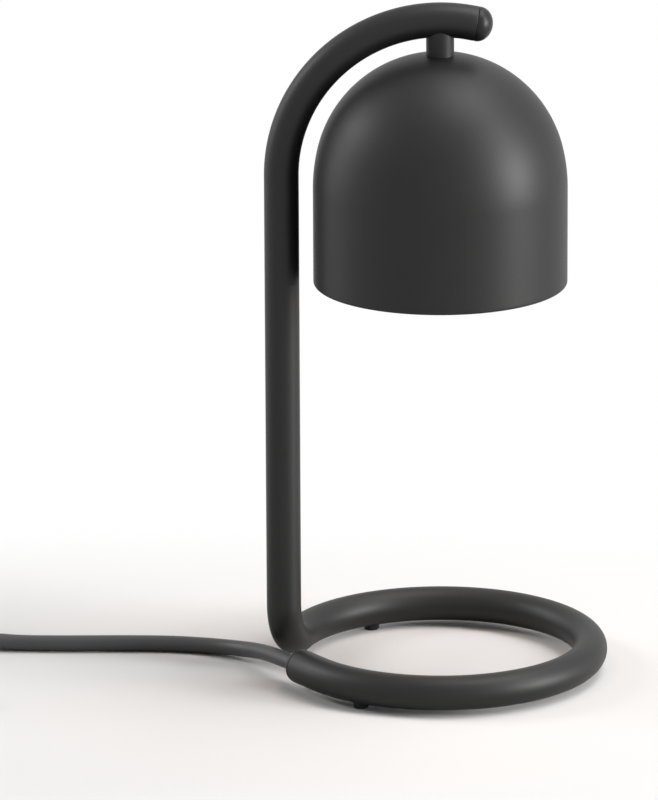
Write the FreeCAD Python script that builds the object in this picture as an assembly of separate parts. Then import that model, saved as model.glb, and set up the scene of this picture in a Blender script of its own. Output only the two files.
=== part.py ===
import FreeCAD, Part
import math
import os

# Candle warmer lamp. One bent steel tube makes the ring base, the riser and the arm.
# A spun dome shade hangs from the arm over the candle, with a twist-lock halogen bulb in it.
# The mains lead runs inside the tube, leaves it at the ring's open end, and goes through
# an in-line dimmer and a coil of spare cord to its plug.
# Millimetres, +Z up. The origin is on the table, at the ring's centre and on the shade's axis.

vector = FreeCAD.Vector
UP = vector(0, 0, 1)

# ---- frame tube
tube_radius = 8.0
tube_wall = 1.2
ring_radius = 69.4  # centreline of the ring
foot_bend_radius = 22.0  # centreline of the bend from the ring up into the riser
foot_height = 2.0  # how far the rubber feet hold the tube off the table
arm_overhang = 10.8  # degrees that the arm's bend goes on past its highest point
arm_end_run = 3.0  # straight tube after that bend
ring_end_angle = -145.0  # where the ring's open end leaves the circle
ring_end_run = 14.0  # straight tube after that
lead_hole_radius = 3.8  # in the underside of the arm, over the stem

# ---- end cap, cord bush and feet
cap_rim = 0.8
cap_dome = 6.7
cap_spigot = 4.5
cap_wall = 1.4
spigot_clearance = 0.1
bush_shoulder = 3.6
bush_spigot = 9.0
cord_clearance = 0.12
foot_count = 3
first_foot_angle = -122.7
foot_radius = 3.5
foot_edge = 0.6
foot_stem_radius = 1.9
foot_stem_clearance = 0.1
foot_stem_rise = 1.9  # of the stem's head above the inside of the tube wall
foot_head_radius = 2.5
foot_head_thickness = 1.1

# ---- shade, stem and the hardware that holds them
shade_radius = 58.4  # outside of the straight wall
shade_rim_height = 185.85
shade_wall_top = 230.9
shoulder_radius = 78.2
shoulder_angle = 13.93055  # degrees that the shoulder turns before the crown starts
shade_wall = 1.0
hem_radius = 1.2
stem_radius = 6.4
stem_height = 8.1  # from the top of the dome to the underside of the arm
nipple_radius = 5.0
nipple_bore = 3.4
nipple_clearance = 0.05
nipple_top_gap = 0.4  # below the arm
nipple_tail = 1.2  # how far the nipple passes the lock nut
washer_radius = 11.0
washer_thickness = 1.2
washer_gap = 0.05
nut_across_flats = 14.0
nut_thickness = 3.5
nut_chamfer = 0.6

# ---- holder bracket
bracket_sheet = 1.2
bracket_length = 26.4
bracket_width = 12.0
bracket_height = 18.0
bracket_foot = 7.7
bracket_bend = 1.9  # outside radius of its bends

# ---- twist-lock lamp holder
holder_radius = 15.0
holder_height = 15.0
holder_edge = 1.0
running_gap = 0.3  # between the bulb and everything that it turns against
twist_angle = 35.0  # from locked to free
contact_thickness = 0.4
contact_half_length = 2.2
contact_half_width = 1.4
contact_tail_width = 3.0
contact_tail_rise = 3.0
contact_tail_gap = 0.2
holder_screw_offset = 9.0
holder_screw_radius = 1.5
holder_screw_clearance = 0.15
holder_screw_head_radius = 2.8
holder_screw_head = 2.0
holder_screw_recess = 3.2
holder_screw_reach = 2.0  # past the bracket's foot
driver_slot_width = 0.7
driver_slot_depth = 0.8

# ---- bulb; its depths are counted down from its base plane
pin_circle_radius = 5.0
pin_neck_radius = 1.5
pin_neck_length = 3.3
pin_head_radius = 2.5
pin_head_length = 3.7
pin_root = 3.0
bulb_cap_radius = 10.5
bulb_cap_chamfer = 1.5
bulb_cap_straight = 8.0
bulb_neck_radius = 15.0
bulb_neck_depth = 19.0
bulb_belly_radius = 21.4
bulb_belly_depth = 30.0
bulb_radius = 25.0
bulb_rim_depth = 42.5
bulb_length = 46.5
glass_wall = 1.4
front_glass_thickness = 1.8
front_glass_gap = 0.1
front_glass_inset = 0.3
capsule_radius = 4.5
capsule_wall = 0.8
capsule_gap = 0.1
capsule_shoulder = 1.5  # solid glass between its room and its flat seal
capsule_length = 17.0
seal_width = 8.0
seal_thickness = 3.0
seal_reach = 5.0  # into the cap
filament_wire_radius = 0.3
filament_coil_radius = 0.8
filament_half_span = 2.0
filament_drop = 6.5

# ---- leads inside the frame
cord_radius = 3.7
jacket_end_angle = 15.0  # degrees before the arm's highest point
lead_radius = 1.2
lead_offset = 1.6  # of each lead from the middle, in the jacket and in the nipple
lead_reach = 13.0  # from the jacket's end to the turn down into the stem
lead_turn_height = 3.8  # of the second point of that turn above the underside of the arm
lead_drop = 2.85  # below the nipple before the leads spread
lead_spread_rise = 2.25  # of the spread leads above the contact tails
sleeve_wall = 0.35
sleeve_gap = 0.03
sleeve_overhang = 0.3  # of the heat sleeves below the nipple

# ---- in-line dimmer, flat on the table, with the cord's axis in its parting plane
dimmer_place = vector(-291, 31.5, 0)
dimmer_length = 64.0
dimmer_width = 32.0
dimmer_height = 16.0
dimmer_parting = 7.5
dimmer_corner = 11.0
dimmer_wall = 1.8
dimmer_base_edge = 2.2
dimmer_cover_edge = 4.0
relief_length = 22.0
relief_root_radius = 5.8
relief_tip_radius = 4.9
relief_neck_radius = 4.4
relief_neck_clearance = 0.05
relief_flange_radius = 5.2
relief_flange = 2.0
relief_flange_gap = 0.15  # from the inside of the wall
relief_mouth = 8.0
relief_mouth_flare = 0.6
groove_count = 4
groove_width = 1.4
groove_depth = 0.7
wheel_radius = 12.0
wheel_thickness = 4.4
wheel_offset = 7.0  # of the wheel's axis in front of the dimmer's middle
wheel_gap = 0.4
knurl_count = 20
knurl_radius = 0.7
shaft_radius = 3.0
shaft_flat = 2.2  # from the shaft's axis
shaft_clearance = 0.05
shaft_pivot_radius = 1.6
bearing_wall = 1.5
board_length = 38.0
board_width = 26.0
board_thickness = 1.2
standoff_height = 0.8
standoff_radius = 1.6
standoff_inset = 3.5
potentiometer_radius = 6.0
potentiometer_height = 2.6
triac_size = vector(5, 10, 8)
triac_place = vector(16, -3, 0)
capacitor_size = vector(5.5, 12, 9)
capacitor_place = vector(-16, -1, 0)
choke_radius = 3.5
choke_bore = 1.3
choke_height = 7.0
choke_place = vector(8, 9.2, 0)
case_screw_x = 22.5
case_screw_y = 8.5
case_screw_radius = 1.1
case_screw_length = 10.0
case_screw_clearance = 0.1
case_screw_head_radius = 2.2
case_screw_head = 1.6
case_screw_recess = 2.4
case_boss_radius = 3.3

# ---- coil of spare cord beside the dimmer
coil_place = vector(-339, -42.2, 0)
coil_inner_turn = 38.2
coil_outer_turn = 45.9
coil_layers = 3
coil_edge = 3.4

# ---- two-blade plug, flat on the table
plug_place = vector(-271.4, -64.8, 0)
plug_heading = 21.6
plug_half_width = 13.0
plug_half_height = 9.0
plug_neck_half_width = 7.2
plug_neck_half_height = 6.6
plug_relief_length = 20.0
plug_relief_root_radius = 6.0
plug_shoulder = 8.0
plug_shoulder_steps = 4
plug_barrel = 14.0
plug_face_edge = 1.6
plug_bore_depth = 11.0
blade_spacing = 12.7
blade_length = 17.0
blade_thickness = 1.5
blade_widths = (6.35, 7.95)
blade_root = 6.0
blade_hole_radius = 1.6
blade_hole_distance = 12.0

# ---- worked out from the sizes above
tube_bore = tube_radius - tube_wall
spigot_radius = tube_bore - spigot_clearance
cord_hole = cord_radius + cord_clearance
ring_height = foot_height + tube_radius
riser_offset = math.hypot(ring_radius, foot_bend_radius)
arm_radius = riser_offset  # puts the arm's highest point over the shade's axis
shoulder_sweep = math.radians(shoulder_angle)
crown_radius = shoulder_radius - (shoulder_radius - shade_radius) / math.cos(shoulder_sweep)
crown_centre_height = shade_wall_top + (shoulder_radius - crown_radius) * math.sin(shoulder_sweep)
crown_top = crown_centre_height + crown_radius
arm_underside = crown_top + stem_height
arm_crest = arm_underside + tube_radius
arm_spring_height = arm_crest - arm_radius  # where the riser ends and the arm's bend starts
nipple_hole = nipple_radius + nipple_clearance
washer_seat = math.sqrt((crown_radius - shade_wall) ** 2 - washer_radius**2)
washer_top = crown_centre_height + washer_seat - washer_gap
bracket_top = washer_top - washer_thickness
nut_top = bracket_top - bracket_sheet
nipple_bottom = nut_top - nut_thickness - nipple_tail
nipple_top = arm_underside - nipple_top_gap
holder_top = bracket_top - bracket_height
holder_bottom = holder_top - holder_height
bulb_plane = holder_bottom - running_gap
pin_neck_top = bulb_plane + pin_neck_length
pin_head_top = pin_neck_top + pin_head_length
pocket_floor = pin_neck_top - running_gap
contact_underside = pin_head_top + running_gap
pocket_ceiling = contact_underside + contact_thickness
contact_tail_top = holder_top + contact_tail_rise
bulb_neck_height = bulb_plane - bulb_neck_depth
capsule_top = bulb_neck_height - glass_wall - capsule_gap
capsule_room_top = capsule_top - capsule_shoulder
seal_top = bulb_neck_height + seal_reach
board_bottom = dimmer_wall + standoff_height
board_top = board_bottom + board_thickness
wheel_bottom = board_top + potentiometer_height + wheel_gap
wheel_top = wheel_bottom + wheel_thickness
dimmer_ceiling = dimmer_height - dimmer_wall
wheel_axis = vector(0, -wheel_offset, 0)
coil_height = 2 * cord_radius * coil_layers
plug_face = plug_relief_length + plug_shoulder + plug_barrel


def on_circle(radius, degrees, height=0.0):
    angle = math.radians(degrees)
    return vector(radius * math.cos(angle), radius * math.sin(angle), height)


# The ring's open end points along the tangent at ring_end_angle.
ring_end_heading = on_circle(1, ring_end_angle - 90)
ring_end = on_circle(ring_radius, ring_end_angle, ring_height)
tube_end = ring_end + ring_end_heading * ring_end_run
cord_start = tube_end - ring_end_heading * bush_spigot
cord_exit = tube_end + ring_end_heading * bush_shoulder

# ---- routes of the free cord, point by point
lamp_side_route = [
    cord_start,
    cord_exit + ring_end_heading * 10,
    vector(-82.5, 0.5, 8.2),
    vector(-93.5, 15.0, 5.2),
    vector(-108.3, 24.3, 3.8),
    vector(-127.0, 28.4, 3.7),
    vector(-152.0, 29.2, 3.7),
    vector(-180.0, 29.0, 3.7),
    vector(-203.5, 30.6, 3.7),
    vector(-233.0, 31.5, 7.5),
    vector(-262.5, 31.5, 7.5),
]
to_coil_route = [
    vector(-320.0, 31.5, 7.5),
    vector(-345.5, 31.5, 7.5),
    vector(-368.7, 19.7, 4.0),
    vector(-381.8, -0.4, 3.7),
    vector(-384.9, -22.2, 3.7),
    vector(-384.9, -42.2, 3.7),
]
to_plug_route = [
    vector(-322.1, -84.9, 18.5),
    vector(-306.8, -78.8, 18.0),
    vector(-291.4, -72.8, 12.6),
    vector(-275.6, -66.5, 9.0),
    vector(-261.7, -61.0, 9.0),
]


# ---- shapes that several pieces are made of


def line(start, end):
    return Part.LineSegment(start, end).toShape()


def arc(start, middle, end):
    return Part.Arc(start, middle, end).toShape()


def bar_along(edges, radius):
    """A round bar along lines and arcs that follow each other without a corner."""
    pieces = []
    for edge in edges:
        start = edge.valueAt(edge.FirstParameter)
        end = edge.valueAt(edge.LastParameter)
        heading = edge.tangentAt(edge.FirstParameter)
        disc = Part.Face(Part.Wire(Part.makeCircle(radius, start, heading)))
        if isinstance(edge.Curve, Part.Line):
            pieces.append(disc.extrude(end - start))
        else:
            sweep = math.degrees(edge.LastParameter - edge.FirstParameter)
            pieces.append(disc.revolve(edge.Curve.Center, edge.Curve.Axis, sweep))
    return pieces[0].fuse(pieces[1:]) if len(pieces) > 1 else pieces[0]


def rounded_path(points):
    """Straight runs joined by tangent arcs, each as large as its two runs allow."""
    edges = []
    radii = []
    here = points[0]
    for before, corner, after in zip(points, points[1:], points[2:]):
        run_in = corner - before
        run_out = after - corner
        half_turn = run_in.getAngle(run_out) / 2
        reach = 0.45 * min(run_in.Length, run_out.Length)
        radius = reach / math.tan(half_turn)
        run_in.normalize()
        run_out.normalize()
        inward = (run_out - run_in).normalize()
        arc_start = corner - run_in * reach
        arc_end = corner + run_out * reach
        arc_middle = corner + inward * (radius / math.cos(half_turn) - radius)
        edges.append(line(here, arc_start))
        edges.append(arc(arc_start, arc_middle, arc_end))
        radii.append(radius)
        here = arc_end
    edges.append(line(here, points[-1]))
    return Part.Wire(edges), radii


def cylinder(radius, bottom, top, place=vector(0, 0, 0)):
    return Part.makeCylinder(radius, top - bottom, place + UP * bottom)


def pipe(radius, bore, bottom, top, place=vector(0, 0, 0)):
    return cylinder(radius, bottom, top, place).cut(cylinder(bore, bottom, top, place))


def turned(edges):
    """A solid of revolution about Z, from a closed outline in the XZ plane."""
    return Part.Face(Part.Wire(edges)).revolve(vector(0, 0, 0), UP, 360)


def outline_of(points):
    corners = [vector(radius, 0, height) for radius, height in points]
    return [line(a, b) for a, b in zip(corners, corners[1:] + corners[:1])]


def block(size, place, bottom):
    """A box on bottom, with place in the middle of its plan."""
    corner = vector(place.x - size.x / 2, place.y - size.y / 2, bottom)
    return Part.makeBox(size.x, size.y, size.z, corner)


def facing(shape, place, direction):
    """Turns a shape made along +Z to point along direction, and moves it to place."""
    moved = shape.copy()
    moved.Placement = FreeCAD.Placement(place, FreeCAD.Rotation(UP, direction))
    return moved


def edges_at(shape, height):
    return [e for e in shape.Edges if all(abs(v.Z - height) < 1e-6 for v in e.Vertexes)]


def rounded_block(length, width, bottom, top, corner):
    shape = block(vector(length, width, top - bottom), vector(0, 0, 0), bottom)
    upright = [e for e in shape.Edges if abs(e.tangentAt(e.FirstParameter).z) > 0.9]
    return shape.makeFillet(corner, upright)


def drilled(shape, radius, bottom, top, places):
    for place in places:
        shape = shape.cut(cylinder(radius, bottom, top, place))
    return shape


# ---- frame


def ring_edges():
    """The ring from its open end, the foot bend, and the riser up to the arm's spring."""
    take_off = 180 - math.degrees(math.atan2(foot_bend_radius, ring_radius))
    ring_middle = on_circle(ring_radius, (ring_end_angle + take_off) / 2, ring_height)
    ring_finish = on_circle(ring_radius, take_off, ring_height)
    bend_centre = ring_finish + UP * foot_bend_radius
    riser_foot = vector(-riser_offset, 0, bend_centre.z)
    outward = (riser_foot - bend_centre).normalize()
    bend_middle = bend_centre + (outward - UP).normalize() * foot_bend_radius
    return [
        arc(ring_end, ring_middle, ring_finish),
        arc(ring_finish, bend_middle, riser_foot),
        line(riser_foot, vector(-riser_offset, 0, arm_spring_height)),
    ]


def arm_point(degrees):
    """A point of the arm's centreline, counted in degrees past its highest point."""
    angle = math.radians(degrees)
    return vector(arm_radius * math.sin(angle), 0, arm_spring_height + arm_radius * math.cos(angle))


def arm_heading(degrees):
    angle = math.radians(degrees)
    return vector(math.cos(angle), 0, -math.sin(angle))


def arm_edge(end_angle):
    return arc(arm_point(-90), arm_point((end_angle - 90) / 2), arm_point(end_angle))


def arm_tip():
    return arm_point(arm_overhang) + arm_heading(arm_overhang) * arm_end_run


def foot_places():
    angles = [first_foot_angle + 360 * k / foot_count for k in range(foot_count)]
    return [on_circle(ring_radius, angle) for angle in angles]


def frame_tube():
    centreline = [line(tube_end, ring_end)] + ring_edges()
    centreline += [arm_edge(arm_overhang), line(arm_point(arm_overhang), arm_tip())]
    body = bar_along(centreline, tube_radius).cut(bar_along(centreline, tube_bore))
    foot_hole = foot_stem_radius + foot_stem_clearance
    body = drilled(body, foot_hole, 0, ring_height, foot_places())
    return body.cut(cylinder(lead_hole_radius, arm_underside - 1, arm_crest))


def arm_end_cap():
    flatten = FreeCAD.Matrix()
    flatten.scale(1, 1, cap_dome / tube_radius)
    dome = Part.makeSphere(tube_radius, vector(0, 0, 0), UP, 0, 90).transformGeometry(flatten)
    dome.translate(UP * cap_rim)
    spigot = pipe(spigot_radius, spigot_radius - cap_wall, -cap_spigot, 0)
    cap = dome.fuse([cylinder(tube_radius, 0, cap_rim), spigot])
    return facing(cap, arm_tip(), arm_heading(arm_overhang))


def cord_bush():
    shoulder_start = vector(tube_radius, 0, 0)
    shoulder_end = vector(tube_radius - bush_shoulder, 0, bush_shoulder)
    diagonal = bush_shoulder * math.sqrt(0.5)
    shoulder_middle = vector(shoulder_end.x + diagonal, 0, diagonal)
    inner_corners = [
        shoulder_end,
        vector(cord_hole, 0, bush_shoulder),
        vector(cord_hole, 0, -bush_spigot),
        vector(spigot_radius, 0, -bush_spigot),
        vector(spigot_radius, 0, 0),
        shoulder_start,
    ]
    outline = [arc(shoulder_start, shoulder_middle, shoulder_end)]
    outline += [line(a, b) for a, b in zip(inner_corners, inner_corners[1:])]
    return facing(turned(outline), tube_end, ring_end_heading)


def rubber_feet():
    ring = bar_along(ring_edges()[:1], tube_radius)
    head_top = ring_height - tube_bore + foot_stem_rise
    feet = []
    for place in foot_places():
        pad = cylinder(foot_radius, 0, ring_height, place)
        pad = pad.makeFillet(foot_edge, edges_at(pad, 0)).cut(ring)
        stem = cylinder(foot_stem_radius, foot_edge, head_top, place)
        head = cylinder(foot_head_radius, head_top - foot_head_thickness, head_top, place)
        feet.append(pad.fuse([stem, head]))
    return Part.makeCompound(feet)


# ---- shade and the hardware that holds it


def polar(centre, radius, angle):
    return centre + vector(radius * math.cos(angle), 0, radius * math.sin(angle))


def dome_profile(inset, inner_edge):
    """The dome's outline from its wall's top to a hole round the axis, and that hole's height."""
    shoulder_centre = vector(shade_radius - shoulder_radius, 0, shade_wall_top)
    crown_centre = vector(0, 0, crown_centre_height)
    shoulder = shoulder_radius - inset
    crown = crown_radius - inset
    last_angle = math.acos(inner_edge / crown)
    points = [
        polar(shoulder_centre, shoulder, 0),
        polar(shoulder_centre, shoulder, shoulder_sweep / 2),
        polar(shoulder_centre, shoulder, shoulder_sweep),
        polar(crown_centre, crown, (shoulder_sweep + last_angle) / 2),
        polar(crown_centre, crown, last_angle),
    ]
    return [arc(*points[0:3]), arc(*points[2:5])], points[0], points[4]


def shade():
    outer, outer_foot, outer_top = dome_profile(0, nipple_hole)
    inner, inner_foot, inner_top = dome_profile(shade_wall, nipple_hole)
    hem_centre = vector(shade_radius - hem_radius, 0, shade_rim_height + hem_radius)
    hem_end = math.acos((inner_foot.x - hem_centre.x) / hem_radius)
    hem_start = polar(hem_centre, hem_radius, 0)
    hem_middle = polar(hem_centre, hem_radius, hem_end / 2 + math.pi)
    hem_finish = polar(hem_centre, hem_radius, hem_end)
    outline = outer + inner
    outline += [line(outer_top, inner_top), line(outer_foot, hem_start), line(inner_foot, hem_finish)]
    outline.append(arc(hem_start, hem_middle, hem_finish))
    return turned(Part.sortEdges(outline)[0])


def dome_solid():
    profile, foot, top = dome_profile(0, 0)
    base = vector(0, 0, shade_wall_top)
    return turned(profile + [line(top, base), line(base, foot)])


def shade_stem():
    """Coped to the arm above and to the dome below, and bored for the nipple."""
    post = pipe(stem_radius, nipple_hole, shade_wall_top, arm_crest)
    return post.cut(dome_solid()).cut(bar_along([arm_edge(arm_overhang)], tube_radius))


def threaded_nipple():
    return pipe(nipple_radius, nipple_bore, nipple_bottom, nipple_top)


def shade_washer():
    return pipe(washer_radius, nipple_hole, bracket_top, washer_top)


def lock_nut():
    bottom = nut_top - nut_thickness
    corner = nut_across_flats / 2 / math.cos(math.pi / 6)
    corners = [on_circle(corner, 60 * k, bottom) for k in range(7)]
    hexagon = Part.Face(Part.makePolygon(corners)).extrude(UP * nut_thickness)
    outline = outline_of(
        [
            (nipple_hole, bottom),
            (corner - nut_chamfer, bottom),
            (corner, bottom + nut_chamfer),
            (corner, nut_top - nut_chamfer),
            (corner - nut_chamfer, nut_top),
            (nipple_hole, nut_top),
        ]
    )
    return hexagon.common(turned(outline))


def screw_places():
    return [vector(side * holder_screw_offset, 0, 0) for side in (-1, 1)]


def holder_bracket():
    """A bent hat: a top plate on the nipple, two legs and two feet that turn inwards."""
    middle = vector(0, 0, 0)
    outer = block(vector(bracket_length, bracket_width, bracket_height), middle, holder_top)
    bends = [e for e in outer.Edges if abs(e.tangentAt(e.FirstParameter).y) > 0.9]
    outer = outer.makeFillet(bracket_bend, bends)
    room = vector(
        bracket_length - 2 * bracket_sheet,
        bracket_width,
        bracket_height - 2 * bracket_sheet,
    )
    inner = block(room, middle, holder_top + bracket_sheet)
    bends = [e for e in inner.Edges if abs(e.tangentAt(e.FirstParameter).y) > 0.9]
    inner = inner.makeFillet(bracket_bend - bracket_sheet, bends)
    mouth_length = bracket_length - 2 * bracket_foot
    mouth = block(vector(mouth_length, bracket_width, 2 * bracket_sheet), middle, holder_top)
    hat = outer.cut(inner).cut(mouth)
    hat = hat.cut(cylinder(nipple_hole, nut_top, bracket_top))
    foot_hole = holder_screw_radius + holder_screw_clearance
    return drilled(hat, foot_hole, holder_top, holder_top + bracket_sheet, screw_places())


# ---- lamp holder


def arc_slot(half_width, locked_angle, bottom, top):
    """A slot along the pin circle from the locked to the free place, with round ends."""
    free_angle = locked_angle - twist_angle
    outer = Part.makeCylinder(
        pin_circle_radius + half_width, top - bottom, UP * bottom, UP, twist_angle
    )
    slot = outer.cut(cylinder(pin_circle_radius - half_width, bottom, top))
    slot.rotate(vector(0, 0, 0), UP, free_angle)
    ends = [
        cylinder(half_width, bottom, top, on_circle(pin_circle_radius, angle))
        for angle in (locked_angle, free_angle)
    ]
    return slot.fuse(ends)


def locked_angles():
    return (90, 270)


def lamp_holder():
    """A ceramic puck with a keyhole, a pocket and a tail slot for each pin of the bulb."""
    puck = cylinder(holder_radius, holder_bottom, holder_top)
    rims = edges_at(puck, holder_bottom) + edges_at(puck, holder_top)
    puck = puck.makeChamfer(holder_edge, rims)
    neck_room = pin_neck_radius + running_gap
    head_room = pin_head_radius + running_gap
    tail_room = vector(
        contact_tail_width + 2 * contact_tail_gap,
        contact_thickness + 2 * contact_tail_gap,
        holder_top - pocket_ceiling,
    )
    for locked in locked_angles():
        free_place = on_circle(pin_circle_radius, locked - twist_angle)
        puck = puck.cut(arc_slot(neck_room, locked, holder_bottom, pocket_floor))
        puck = puck.cut(cylinder(head_room, holder_bottom, pocket_floor, free_place))
        puck = puck.cut(arc_slot(head_room, locked, pocket_floor, pocket_ceiling))
        puck = puck.cut(block(tail_room, on_circle(pin_circle_radius, locked), pocket_ceiling))
    shank_hole = holder_screw_radius + holder_screw_clearance
    head_hole = holder_screw_head_radius + holder_screw_clearance
    head_seat = holder_bottom + holder_screw_recess
    puck = drilled(puck, shank_hole, holder_bottom, holder_top, screw_places())
    return drilled(puck, head_hole, holder_bottom, head_seat, screw_places())


def lamp_contacts():
    leaf_size = vector(2 * contact_half_length, 2 * contact_half_width, contact_thickness)
    tail_size = vector(contact_tail_width, contact_thickness, contact_tail_top - contact_underside)
    contacts = []
    for locked in locked_angles():
        place = on_circle(pin_circle_radius, locked)
        leaf = block(leaf_size, place, contact_underside)
        contacts.append(leaf.fuse(block(tail_size, place, contact_underside)))
    return Part.makeCompound(contacts)


def holder_screws():
    seat = holder_bottom + holder_screw_recess
    head_bottom = seat - holder_screw_head
    tip = holder_top + bracket_sheet + holder_screw_reach
    slot_size = vector(2 * holder_screw_head_radius, driver_slot_width, driver_slot_depth)
    screws = []
    for place in screw_places():
        head = cylinder(holder_screw_head_radius, head_bottom, seat, place)
        head = head.cut(block(slot_size, place, head_bottom))
        screws.append(head.fuse(cylinder(holder_screw_radius, seat, tip, place)))
    return Part.makeCompound(screws)


# ---- bulb


def bulb_pin(locked):
    place = on_circle(pin_circle_radius, locked)
    neck = cylinder(pin_neck_radius, bulb_plane - pin_root, pin_neck_top, place)
    return neck.fuse(cylinder(pin_head_radius, pin_neck_top, pin_head_top, place))


def bulb_pins():
    return Part.makeCompound([bulb_pin(locked) for locked in locked_angles()])


def bulb_cap():
    """The moulded glass block between the pins and the reflector."""
    outline = outline_of(
        [
            (0, bulb_plane),
            (bulb_cap_radius - bulb_cap_chamfer, bulb_plane),
            (bulb_cap_radius, bulb_plane - bulb_cap_chamfer),
            (bulb_cap_radius, bulb_plane - bulb_cap_straight),
            (bulb_neck_radius, bulb_neck_height),
            (0, bulb_neck_height),
        ]
    )
    return turned(outline).cut(bulb_pins()).cut(seal_slot())


def bulb_reflector():
    rim_height = bulb_plane - bulb_rim_depth
    face_height = bulb_plane - bulb_length
    belly_height = bulb_plane - bulb_belly_depth
    outer = [
        vector(bulb_neck_radius, 0, bulb_neck_height),
        vector(bulb_belly_radius, 0, belly_height),
        vector(bulb_radius, 0, rim_height),
    ]
    inner = [
        vector(bulb_radius - glass_wall, 0, rim_height),
        vector(bulb_belly_radius - glass_wall, 0, belly_height - glass_wall / 2),
        vector(bulb_neck_radius - glass_wall, 0, bulb_neck_height - glass_wall),
    ]
    lip = [
        outer[2],
        vector(bulb_radius, 0, face_height),
        vector(bulb_radius - glass_wall, 0, face_height),
        inner[0],
    ]
    back = [
        inner[2],
        vector(0, 0, bulb_neck_height - glass_wall),
        vector(0, 0, bulb_neck_height),
        outer[0],
    ]
    outline = [arc(*outer)] + [line(a, b) for a, b in zip(lip, lip[1:])]
    outline += [arc(*inner)] + [line(a, b) for a, b in zip(back, back[1:])]
    return turned(outline).cut(seal_slot())


def bulb_front_glass():
    bottom = bulb_plane - bulb_length + front_glass_inset
    radius = bulb_radius - glass_wall - front_glass_gap
    return cylinder(radius, bottom, bottom + front_glass_thickness)


def round_ended(radius, top, bottom):
    barrel = cylinder(radius, bottom + radius, top)
    return barrel.fuse(Part.makeSphere(radius, UP * (bottom + radius)))


def flat_seal(bottom, gap=0.0):
    """The capsule's pinched end, or with a gap the slot that it goes through."""
    size = vector(seal_width + 2 * gap, seal_thickness + 2 * gap, seal_top + gap - bottom)
    return block(size, vector(0, 0, 0), bottom)


def seal_slot():
    return flat_seal(capsule_top, capsule_gap)


def bulb_capsule():
    tip = bulb_neck_height - capsule_length
    glass = round_ended(capsule_radius, capsule_top, tip).fuse(flat_seal(capsule_room_top))
    room = round_ended(capsule_radius - capsule_wall, capsule_room_top, tip + capsule_wall)
    return glass.cut(room)


def bulb_filament():
    height = capsule_room_top - filament_drop
    coil = facing(
        cylinder(filament_coil_radius, -filament_half_span, filament_half_span),
        UP * height,
        vector(1, 0, 0),
    )
    posts = [
        cylinder(filament_wire_radius, height, capsule_room_top, vector(x, 0, 0))
        for x in (-filament_half_span + filament_wire_radius, filament_half_span - filament_wire_radius)
    ]
    return coil.fuse(posts)


# ---- leads inside the frame


def inner_cord():
    """The jacketed cord from the bush through the ring and the riser into the arm."""
    centreline = [line(cord_start, ring_end)] + ring_edges() + [arm_edge(-jacket_end_angle)]
    return bar_along(centreline, cord_radius)


def lead_route(side):
    middle = side * lead_offset
    jacket_end = arm_point(-jacket_end_angle) + vector(0, middle, 0)
    spread = side * pin_circle_radius
    return [
        jacket_end,
        jacket_end + arm_heading(-jacket_end_angle) * lead_reach,
        vector(0, middle, arm_underside + lead_turn_height),
        vector(0, middle, nipple_bottom - lead_drop),
        vector(0, spread, contact_tail_top + lead_spread_rise),
        vector(0, spread, contact_tail_top),
    ]


def inner_leads():
    paths = [rounded_path(lead_route(side))[0] for side in (-1, 1)]
    return Part.makeCompound([bar_along(path.OrderedEdges, lead_radius) for path in paths])


def lead_sleeves():
    bore = lead_radius + sleeve_gap
    bottom = nipple_bottom - sleeve_overhang
    places = [vector(0, side * lead_offset, 0) for side in (-1, 1)]
    return Part.makeCompound([pipe(bore + sleeve_wall, bore, bottom, nipple_top, p) for p in places])


# ---- free cord


def cord_along(name, route):
    path, radii = rounded_path(route)
    tube = bar_along(path.OrderedEdges, cord_radius)
    swept_volume = math.pi * cord_radius**2 * path.Length
    print(
        f"{name}: length {path.Length:.1f} mm, radii {[round(r) for r in radii]},"
        f" volume {tube.Volume:.1f} of {swept_volume:.1f}"
    )
    return tube


def cord_lamp_side():
    return cord_along("cord_lamp_side", lamp_side_route)


def cord_to_coil():
    return cord_along("cord_to_coil", to_coil_route)


def cord_to_plug():
    return cord_along("cord_to_plug", to_plug_route)


def cord_coil():
    outer = coil_outer_turn + cord_radius
    inner = coil_inner_turn - cord_radius
    ring = pipe(outer, inner, 0, coil_height)
    rims = edges_at(ring, 0) + edges_at(ring, coil_height)
    ring = ring.makeFillet(coil_edge, rims)
    ring.translate(coil_place)
    return ring


# ---- in-line dimmer, made about its own middle and then moved to its place


def at_dimmer(shape):
    shape.translate(dimmer_place)
    return shape


def grooved_taper(root_radius, tip_radius, length):
    """The outside of a strain relief from root to tip, as radii and heights."""
    points = [(root_radius, 0)]
    pitch = length / (groove_count + 1)
    for k in range(groove_count):
        for height, depth in (
            ((k + 1) * pitch - groove_width / 2, (0, groove_depth)),
            ((k + 1) * pitch + groove_width / 2, (groove_depth, 0)),
        ):
            radius = root_radius + (tip_radius - root_radius) * height / length
            points += [(radius - cut, height) for cut in depth]
    return points + [(tip_radius, length)]


def dimmer_reliefs():
    flange_top = -dimmer_wall - relief_flange_gap
    mouth = [
        (cord_hole + relief_mouth_flare, relief_length),
        (cord_hole, relief_length - relief_mouth),
        (cord_hole, flange_top - relief_flange),
        (relief_flange_radius, flange_top - relief_flange),
        (relief_flange_radius, flange_top),
        (relief_neck_radius, flange_top),
        (relief_neck_radius, 0),
    ]
    profile = grooved_taper(relief_root_radius, relief_tip_radius, relief_length) + mouth
    relief = turned(outline_of(profile))
    reliefs = []
    for side in (-1, 1):
        place = vector(side * dimmer_length / 2, 0, dimmer_parting)
        reliefs.append(at_dimmer(facing(relief, place, vector(side, 0, 0))))
    return Part.makeCompound(reliefs)


def case_screw_places():
    return [vector(side * case_screw_x, case_screw_y, 0) for side in (-1, 1)]


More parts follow.
